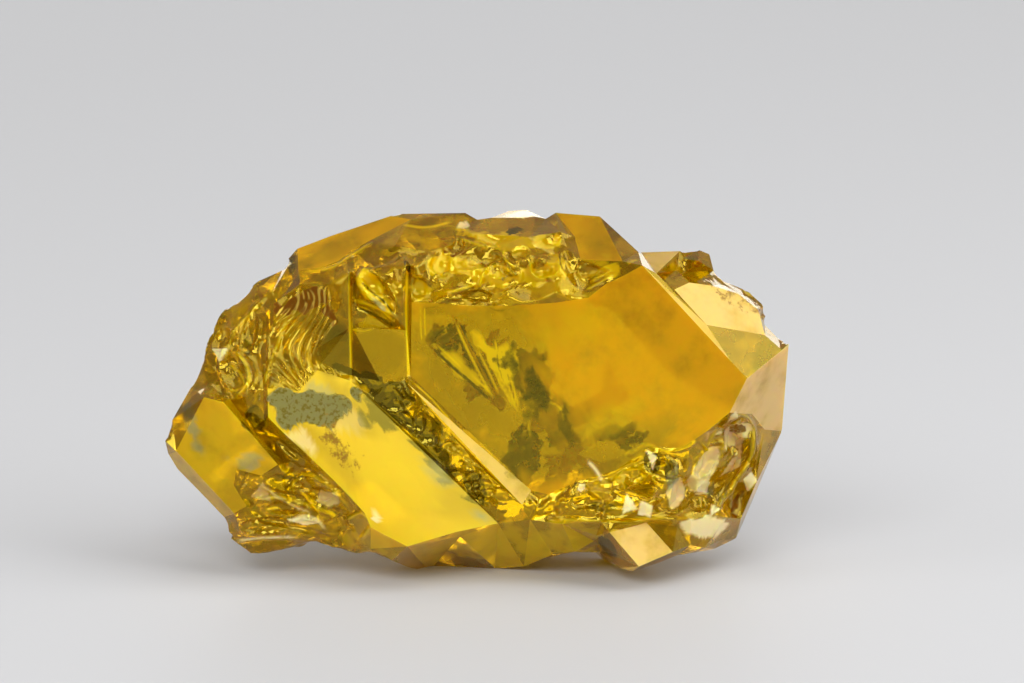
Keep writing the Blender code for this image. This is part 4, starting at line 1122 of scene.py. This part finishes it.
@dataclass(frozen=True)
class SulfurFinish:
    """Clear yellow sulfur: milky golden inside, with bloom, painted shade and light, tarnish and rust laid
    over it.

    A solid share says how much of a full amount isn't see-through. A noise is its steps to the metre, its
    detail and its roughness. A ramp is the two values that become 0 and 1.
    """

    clear: tuple[float, float, float, float] = (1.0, 0.61, 0.0, 1.0)
    golden: tuple[float, float, float, float] = (1.0, 0.50, 0.0, 1.0)
    # colour of the glow: painted light, a brighter yellow on faces that should look lit through
    bright: tuple[float, float, float, float] = (1.0, 0.68, 0.01, 1.0)
    # painted shade: the dull green that clear sulfur shows where it looks into darkness
    olive: tuple[float, float, float, float] = (0.40, 0.24, 0.0, 1.0)
    # painted shade: near-black for the dark places inside and in the breaks
    depth: tuple[float, float, float, float] = (0.07, 0.05, 0.0, 1.0)
    # painted light: inner flashes, bright lines and lit places
    flash: tuple[float, float, float, float] = (1.0, 0.69, 0.0, 1.0)
    # pale bloom: partly a frosted film and partly a painted reflection of the softboxes
    bloom_and_shine: tuple[float, float, float, float] = (1.0, 0.67, 0.25, 1.0)
    # painted glints and highlights
    cream: tuple[float, float, float, float] = (1.0, 0.84, 0.50, 1.0)
    # grey-green sheen: partly thin film and partly painted reflection
    sheen: tuple[float, float, float, float] = (0.30, 0.34, 0.20, 1.0)
    grey: tuple[float, float, float, float] = (0.070, 0.085, 0.055, 1.0)
    black: tuple[float, float, float, float] = (0.004, 0.003, 0.001, 1.0)
    rust: tuple[float, float, float, float] = (0.16, 0.045, 0.002, 1.0)
    reflection: tuple[float, float, float, float] = (1.0, 0.80, 0.10, 1.0)
    ior: float = 2.0
    absorb_density: float = 900.0
    absorb_colour: tuple[float, float, float, float] = (0.999, 0.992, 0.0, 1.0)
    milk_radius: tuple[float, float, float] = (1.0, 0.55, 0.03)
    milk_scale_m: float = 0.002
    milkiness: float = 0.36
    haze_solid: float = 0.66
    painted_glow_solid: float = 0.78
    bloom_and_shine_solid: float = 0.80
    flash_solid: float = 0.80
    shade_solid: float = 0.42
    glint_solid: float = 0.75
    stain_solid: float = 0.90
    roughness: float = 0.04
    haze_roughness: float = 0.10
    bloom_roughness: float = 0.22
    tarnish_roughness: float = 0.35
    cloud_noise: tuple[float, ...] = (420.0, 4.0)
    fine_noise: tuple[float, ...] = (1500.0, 4.0, 0.7)
    dot_noise: tuple[float, ...] = (3600.0, 2.0)
    grain_noise: tuple[float, ...] = (3000.0, 3.0)
    haze_ramp: tuple[float, float] = (-0.1, 0.62)
    bloom_and_shine_ramp: tuple[float, float] = (0.0, 0.6)
    dot_ramp: tuple[float, float] = (0.50, 0.62)
    shade_ramp: tuple[float, float] = (-0.25, 0.45)
    rust_ramp: tuple[float, float] = (-0.02, 0.2)
    tarnish_ramp: tuple[float, float] = (0.25, 0.6)
    milk_ramp: tuple[float, float] = (0.2, 0.9)
    grain: float = 0.10
    grain_height_m: float = 0.00002
    shade_patchiness: float = 0.8

    def material(self) -> bpy.types.Material:
        """Builds the crystal's material.

        The colour is the clear yellow mixed in turn with each finish and tint by its amount, several of them
        painted light and shade. The solid share is the largest of the milky clouds and of each amount times
        its own share. The dullness is that of clear sulfur plus the largest of the amounts times their
        roughnesses.

        Returns:
            The material.
        """
        material = bpy.data.materials.new("sulfur")
        material.use_nodes = True
        bench = NodeBench(material)
        shader = material.node_tree.nodes["Principled BSDF"]
        coords = bench.add("ShaderNodeTexCoord").outputs["Object"]
        amounts = {tint: bench.attribute(tint.value) for tint in Tint}
        bloom_and_shine, painted_glow = bench.attribute("bloom_and_shine"), bench.attribute("painted_glow")
        cloud = bench.noise(coords, *self.cloud_noise)
        unclear = bench.sums("SUBTRACT", 1.0, amounts[Tint.CLEAR])
        haze = bench.sums("MULTIPLY", bench.attribute("haze"), unclear)
        haze = bench.sums("MULTIPLY", haze, bench.ramp(cloud, *self.haze_ramp))
        fine = bench.noise(coords, *self.fine_noise)
        bloom_and_shine_share = bench.sums("MULTIPLY", bloom_and_shine, bench.ramp(cloud, *self.bloom_and_shine_ramp))
        dots = bench.ramp(bench.noise(coords, *self.dot_noise), *self.dot_ramp)
        patchy = bench.sums("MULTIPLY", fine, self.shade_patchiness)
        depth = bench.ramp(bench.sums("SUBTRACT", amounts[Tint.DEPTH], patchy), *self.shade_ramp)
        rust = bench.ramp(bench.sums("SUBTRACT", amounts[Tint.RUST], fine), *self.rust_ramp)
        tarnish = bench.ramp(amounts[Tint.TARNISH], *self.tarnish_ramp)

        colour = bench.mix(haze, self.clear, self.golden)
        # painted light: brighter yellow on glowing faces
        colour = bench.mix(painted_glow, colour, self.bright)
        # painted dull green shade
        colour = bench.mix(amounts[Tint.OLIVE_SHADE], colour, self.olive)
        # painted flashes of light
        colour = bench.mix(amounts[Tint.FLASH], colour, self.flash)
        # pale bloom, partly a painted reflection of the lights
        colour = bench.mix(bloom_and_shine_share, colour, self.bloom_and_shine)
        # painted shade of the dark places
        colour = bench.mix(depth, colour, self.depth)
        # painted glints
        colour = bench.mix(amounts[Tint.CREAM], colour, self.cream)
        # sheen, partly thin film and partly painted reflection
        colour = bench.mix(amounts[Tint.SHEEN], colour, self.sheen)
        colour = bench.mix(tarnish, colour, bench.mix(dots, self.grey, self.black))
        colour = bench.mix(rust, colour, self.rust)
        bench.join(shader.inputs["Base Color"], colour)

        solid = bench.sums("MULTIPLY", bench.ramp(cloud, *self.milk_ramp), self.milkiness)
        shares = (
            (haze, self.haze_solid),
            (painted_glow, self.painted_glow_solid),
            (bloom_and_shine_share, self.bloom_and_shine_solid),
            (amounts[Tint.FLASH], self.flash_solid),
            (depth, self.shade_solid),
            (amounts[Tint.CREAM], self.glint_solid),
            (tarnish, self.stain_solid),
            (rust, self.stain_solid),
        )
        for amount, share in shares:
            solid = bench.sums("MAXIMUM", solid, bench.sums("MULTIPLY", amount, share))
        bench.join(shader.inputs["Transmission Weight"], bench.sums("SUBTRACT", 1.0, solid))

        dull = bench.sums("MULTIPLY", haze, self.haze_roughness)
        dull = bench.sums("MAXIMUM", dull, bench.sums("MULTIPLY", tarnish, self.tarnish_roughness))
        dull = bench.sums("MAXIMUM", dull, bench.sums("MULTIPLY", bloom_and_shine_share, self.bloom_roughness))
        bench.join(shader.inputs["Roughness"], bench.sums("ADD", dull, self.roughness))

        grain = bench.noise(coords, *self.grain_noise)
        bump = bench.add("ShaderNodeBump", Height=grain, Strength=self.grain, Distance=self.grain_height_m)
        bench.join(shader.inputs["Normal"], bump.outputs["Normal"])
        shader.inputs["IOR"].default_value = self.ior
        shader.inputs["Specular Tint"].default_value = self.reflection
        shader.inputs["Subsurface Weight"].default_value = 1.0
        shader.inputs["Subsurface Radius"].default_value = self.milk_radius
        shader.inputs["Subsurface Scale"].default_value = self.milk_scale_m

        inside = bench.add(
            "ShaderNodeVolumeAbsorption", Color=self.absorb_colour, Density=self.absorb_density
        )
        output = material.node_tree.nodes["Material Output"]
        bench.join(output.inputs["Volume"], inside.outputs["Volume"])
        return material


@dataclass(frozen=True)
class CrackFinish:
    """How a break inside the crystal looks: its colour, how much it mirrors, and how dull it is. The colour
    paints light and shade: near-black for painted shade, bright yellow for a painted inner flash.
    """

    name: str
    colour: tuple[float, float, float, float]
    vein: tuple[float, float, float, float]
    mirror: float
    dullness: float
    noise: tuple[float, float] = (1100.0, 3.0)
    vein_starts: tuple[float, float] = (0.46, 0.50)
    vein_ends: tuple[float, float] = (0.55, 0.51)

    def material(self) -> bpy.types.Material:
        """Builds the material: the colour with brighter veins where a noise is near its middle value.

        Returns:
            The material.
        """
        material = bpy.data.materials.new(self.name)
        material.use_nodes = True
        bench = NodeBench(material)
        shader = material.node_tree.nodes["Principled BSDF"]
        coords = bench.add("ShaderNodeTexCoord").outputs["Object"]
        noise = bench.noise(coords, *self.noise)
        starts, ends = bench.ramp(noise, *self.vein_starts), bench.ramp(noise, *self.vein_ends)
        vein = bench.sums("MULTIPLY", starts, ends)
        bench.join(shader.inputs["Base Color"], bench.mix(vein, self.colour, self.vein))
        shader.inputs["Metallic"].default_value = self.mirror
        shader.inputs["Roughness"].default_value = self.dullness
        return material


@dataclass(frozen=True)
class InnerCrack:
    """A thin crumpled break under the main face, in photo pixels and plan units; a dark one is painted
    shade, a bright one a painted flash.
    """

    name: str
    finish: CrackFinish
    middle_px: tuple[float, float]
    half_px: tuple[float, float]
    turn_deg: float
    below: float
    rise: float
    crumple: float
    seed: int
    shards: int = 1
    thickness: float = 1.0
    shard_size: float = 0.5
    scatter: float = 0.75
    scatter_deg: float = 50.0
    ragged: tuple[tuple[float, float], ...] = ((0.40, 2.2), (0.28, 6.0))
    ragged_step: float = 1.7
    rise_shares: tuple[float, float] = (0.6, 1.6)
    fold_sizes: tuple[float, float] = (9.0, 4.0)
    fold_seeds: tuple[int, int] = (3, 4)
    narrow_fold: float = 0.5
    rings: int = 10
    spokes: int = 48
    cover: float = 2.5

    def shard(self, plan: Plan, number: int) -> tuple[np.ndarray, np.ndarray]:
        """One sliver of the break: two sheets over one ragged disc that meet at its rim.

        The disc's rim is at one plus a noise of the direction. Its height is a rise along its length plus a
        noise of the place, and the sheets stand apart by the root of one minus the square of the distance.

        Args:
            plan: places the break.
            number: which sliver.

        Returns:
            Its plan points and triangles.
        """
        rng = np.random.default_rng((self.seed, number))
        size = self.shard_size if self.shards > 1 else 1.0
        offset = rng.uniform(-self.scatter, self.scatter, 2) if self.shards > 1 else np.zeros(2)
        turn = np.linspace(0.0, 2.0 * math.pi, self.spokes, endpoint=False)
        part = np.linspace(0.0, 1.0, self.rings + 1)[1:]
        step_up = np.full(self.spokes, number * self.ragged_step)
        circle = np.stack((np.cos(turn), np.sin(turn), step_up), axis=1)
        rim = sum((depth * lattice_noise(circle * pitch, self.seed) for depth, pitch in self.ragged), 1.0)
        flat = circle[None, :, :2] * (part[:, None] * rim[None, :])[:, :, None]
        flat = np.vstack(((0.0, 0.0), flat.reshape(-1, 2))) * size + offset
        reach = np.concatenate(((0.0,), np.repeat(part, self.spokes)))
        lean = math.radians(self.turn_deg + rng.uniform(-1.0, 1.0) * self.scatter_deg * (self.shards > 1))
        along, over = flat[:, 0] * self.half_px[0], flat[:, 1] * self.half_px[1]
        start = plan.spot(*self.middle_px)
        across = start[0] + along * math.cos(lean) - over * math.sin(lean)
        up = start[1] - along * math.sin(lean) - over * math.cos(lean)
        places = np.stack((across, up, np.zeros(len(up))), axis=1)
        fold_kinds = zip(self.fold_sizes, self.fold_seeds)
        broad, narrow = (lattice_noise(places / wide, self.seed + step) for wide, step in fold_kinds)
        folds = broad + self.narrow_fold * narrow
        sink = self.below - self.rise * flat[:, 0] * rng.uniform(*self.rise_shares) - self.crumple * folds
        level = MAIN_FACE[0] + MAIN_FACE[1] * across + MAIN_FACE[2] * up - np.maximum(sink, self.cover)
        gap = 0.5 * self.thickness * np.sqrt(1.0 - reach**2)
        top = np.stack((across, up, level + gap), axis=1)
        inner = len(top) - self.spokes
        low = np.stack((across, up, level - gap), axis=1)[:inner]
        ring = np.arange(self.spokes)
        after = (ring + 1) % self.spokes
        cap = np.stack((np.zeros(self.spokes, dtype=int), 1 + after, 1 + ring), axis=1)
        steps = 1 + self.spokes * np.arange(self.rings - 1)[:, None]
        near, far = steps + ring, steps + after
        first = np.stack((near, far, far + self.spokes), axis=2).reshape(-1, 3)
        second = np.stack((near, far + self.spokes, near + self.spokes), axis=2).reshape(-1, 3)
        upper = np.vstack((cap, first, second))
        lower = upper[:, ::-1].copy()
        lower[lower < inner] += len(top)
        return np.vstack((top, low)), np.vstack((upper, lower))

    def build(self, plan: Plan) -> bpy.types.Object:
        """Makes the break's slivers and joins them in one mesh.

        Args:
            plan: places the break.

        Returns:
            The piece.
        """
        made = [self.shard(plan, number) for number in range(self.shards)]
        starts = np.cumsum([0] + [len(points) for points, _ in made[:-1]])
        points = plan.to_world(np.vstack([points for points, _ in made]))
        faces = np.vstack([faces + start for (_, faces), start in zip(made, starts)])
        mesh = bpy.data.meshes.new(self.name)
        mesh.from_pydata(points.tolist(), [], faces.tolist())
        mesh.shade_smooth()
        mesh.materials.append(self.finish.material())
        piece = bpy.data.objects.new(self.name, mesh)
        bpy.context.scene.collection.objects.link(piece)
        return piece


# a bright yellow sheet inside: a painted flash of light
FLASHING = CrackFinish("flashing_crack", (1.0, 0.66, 0.01, 1.0), (1.0, 0.86, 0.34, 1.0), 0.15, 0.30)
# a near-black sheet inside: painted shade
SHADED = CrackFinish("shaded_crack", (0.008, 0.006, 0.0, 1.0), (0.75, 0.50, 0.0, 1.0), 0.0, 0.35)
INNER_CRACKS = (
    InnerCrack("feather_crack_low", FLASHING, (462, 374), (44, 3), 41.0, 5.0, 1.0, 1.0, 1),
    InnerCrack("feather_crack_high", FLASHING, (476, 361), (44, 3), 64.0, 5.0, -1.0, 1.0, 2),
    InnerCrack("feather_flash", FLASHING, (497, 368), (17, 36), -12.0, 7.0, 3.0, 2.5, 3, 9),
    InnerCrack("feather_shade", SHADED, (529, 378), (18, 34), -10.0, 9.0, 4.0, 3.0, 4, 10),
    InnerCrack("low_shade", SHADED, (519, 460), (17, 26), 10.0, 9.0, 3.0, 3.0, 5, 9),
    InnerCrack("lens_shade", SHADED, (568, 430), (12, 22), 4.0, 8.0, 3.0, 3.0, 6, 7),
    InnerCrack("right_shade", SHADED, (622, 436), (22, 10), 8.0, 7.0, 3.0, 2.5, 7, 8),
    InnerCrack("corner_shade", SHADED, (446, 337), (18, 14), -35.0, 8.0, 3.0, 2.0, 8, 6),
    InnerCrack("web_shade", SHADED, (466, 356), (20, 9), 50.0, 8.0, 3.0, 2.0, 9, 6),
    InnerCrack("lens_flash", FLASHING, (547, 422), (14, 26), 4.0, 10.0, 3.0, 3.0, 10, 8),
    InnerCrack("far_flash", FLASHING, (600, 404), (34, 14), -38.0, 7.0, 3.0, 3.0, 11, 10),
    InnerCrack("low_flash", FLASHING, (570, 460), (40, 9), -14.0, 8.0, 3.0, 3.0, 12, 10),
)


@dataclass(frozen=True)
class StudioLight:
    """A soft rectangular light that points at the crystal."""

    name: str
    direction: tuple[float, float, float]
    distance_m: float
    size_m: tuple[float, float]
    power_w: float

    def build(self, target: Vector) -> bpy.types.Object:
        """Places the light.

        Args:
            target: the point that it faces.

        Returns:
            The light.
        """
        data = bpy.data.lights.new(self.name, "AREA")
        data.shape = "RECTANGLE"
        data.size, data.size_y = self.size_m
        data.energy = self.power_w
        light = bpy.data.objects.new(self.name, data)
        bpy.context.scene.collection.objects.link(light)
        away = Vector(self.direction).normalized()
        light.location = target + away * self.distance_m
        light.rotation_euler = away.to_track_quat("Z", "Y").to_euler()
        return light


@dataclass
class Studio:
    """Pale floor, soft lights, and the camera at the photo's angle."""

    plan: Plan
    floor_half_m: float = 3.0
    camera_distance_m: float = 0.45
    sensor_mm: float = 36.0
    world_grey: float = 0.25
    floor_grey: tuple[float, float, float, float] = (0.52, 0.52, 0.53, 1.0)
    floor_roughness: float = 0.6
    aim_height: float = 50.0
    near_clip_m: float = 0.01
    bounces: int = 24
    clear_bounces: int = 16
    lights: tuple[StudioLight, ...] = (
        StudioLight("upper_right_softbox", (0.70, -0.20, 0.62), 0.40, (0.34, 0.30), 0.85),
        StudioLight("overhead_softbox", (0.15, -0.05, 1.0), 0.60, (0.5, 0.5), 1.4),
        StudioLight("back_softbox", (-0.1, 1.0, 0.18), 0.60, (0.7, 0.18), 0.75),
        StudioLight("right_fill", (1.0, -0.55, 0.20), 0.50, (0.25, 0.25), 0.75),
        StudioLight("left_fill", (-1.0, -0.35, 0.35), 0.60, (0.25, 0.4), 0.7),
        StudioLight("front_fill", (-0.25, -1.0, 0.75), 0.70, (0.5, 0.3), 3.1),
    )

    def floor(self) -> bpy.types.Object:
        """The pale floor that the crystal lies on."""
        half = self.floor_half_m
        mesh = bpy.data.meshes.new("floor")
        corners = [(-half, -half, 0.0), (half, -half, 0.0), (half, half, 0.0), (-half, half, 0.0)]
        mesh.from_pydata(corners, [], [(0, 1, 2, 3)])
        piece = bpy.data.objects.new("floor", mesh)
        bpy.context.scene.collection.objects.link(piece)
        material = bpy.data.materials.new("floor")
        material.use_nodes = True
        shader = material.node_tree.nodes["Principled BSDF"]
        shader.inputs["Base Color"].default_value = self.floor_grey
        shader.inputs["Roughness"].default_value = self.floor_roughness
        mesh.materials.append(material)
        return piece

    def camera(self) -> bpy.types.Object:
        """The camera: square on to the plan, its field as wide as the photo at the crystal."""
        data = bpy.data.cameras.new("camera")
        camera = bpy.data.objects.new("camera", data)
        bpy.context.scene.collection.objects.link(camera)
        aim = self.plan.spot(PHOTO_WIDTH / 2.0, PHOTO_HEIGHT / 2.0, self.aim_height)
        across, up, out = (Vector(axis) for axis in self.plan.axes)
        camera.location = Vector(self.plan.to_world(aim[None])[0]) + out * self.camera_distance_m
        camera.rotation_euler = out.to_track_quat("Z", "Y").to_euler()
        data.sensor_width = self.sensor_mm
        data.lens = self.sensor_mm * self.camera_distance_m / (PHOTO_WIDTH * self.plan.unit_m)
        data.clip_start = self.near_clip_m
        bpy.context.scene.camera = camera
        return camera

    def world(self) -> None:
        """An even grey surround."""
        world = bpy.data.worlds.new("surround")
        world.use_nodes = True
        sky = world.node_tree.nodes["Background"]
        sky.inputs["Color"].default_value = (self.world_grey, self.world_grey, self.world_grey, 1.0)
        bpy.context.scene.world = world

    def build(self) -> None:
        """Sets up floor, lights, surround and camera."""
        self.floor()
        self.world()
        target = Vector(self.plan.to_world(np.array([[0.0, 0.0, 0.0]]))[0])
        for light in self.lights:
            light.build(target)
        self.camera()
        scene = bpy.context.scene
        scene.view_settings.view_transform = "Standard"
        scene.cycles.max_bounces = self.bounces
        scene.cycles.transmission_bounces = self.bounces
        scene.cycles.transparent_max_bounces = self.clear_bounces


def main() -> None:
    """Builds the studio and the crystal, and reports each piece."""
    logging.basicConfig(level=logging.INFO, format="%(name)s: %(message)s")
    plan = Plan.of_node(CRYSTAL_NODE)
    Studio(plan).build()
    lump = SulfurLump(plan).build(SulfurFinish())
    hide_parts(CRYSTAL_NODE)
    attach(lump, BODY)
    LOG.info("%s: %d triangles", lump.name, len(lump.data.polygons))
    for crack in INNER_CRACKS:
        piece = crack.build(plan)
        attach(piece, BODY)
        LOG.info("%s: %d triangles", piece.name, len(piece.data.polygons))


if __name__ == "__main__":
    main()
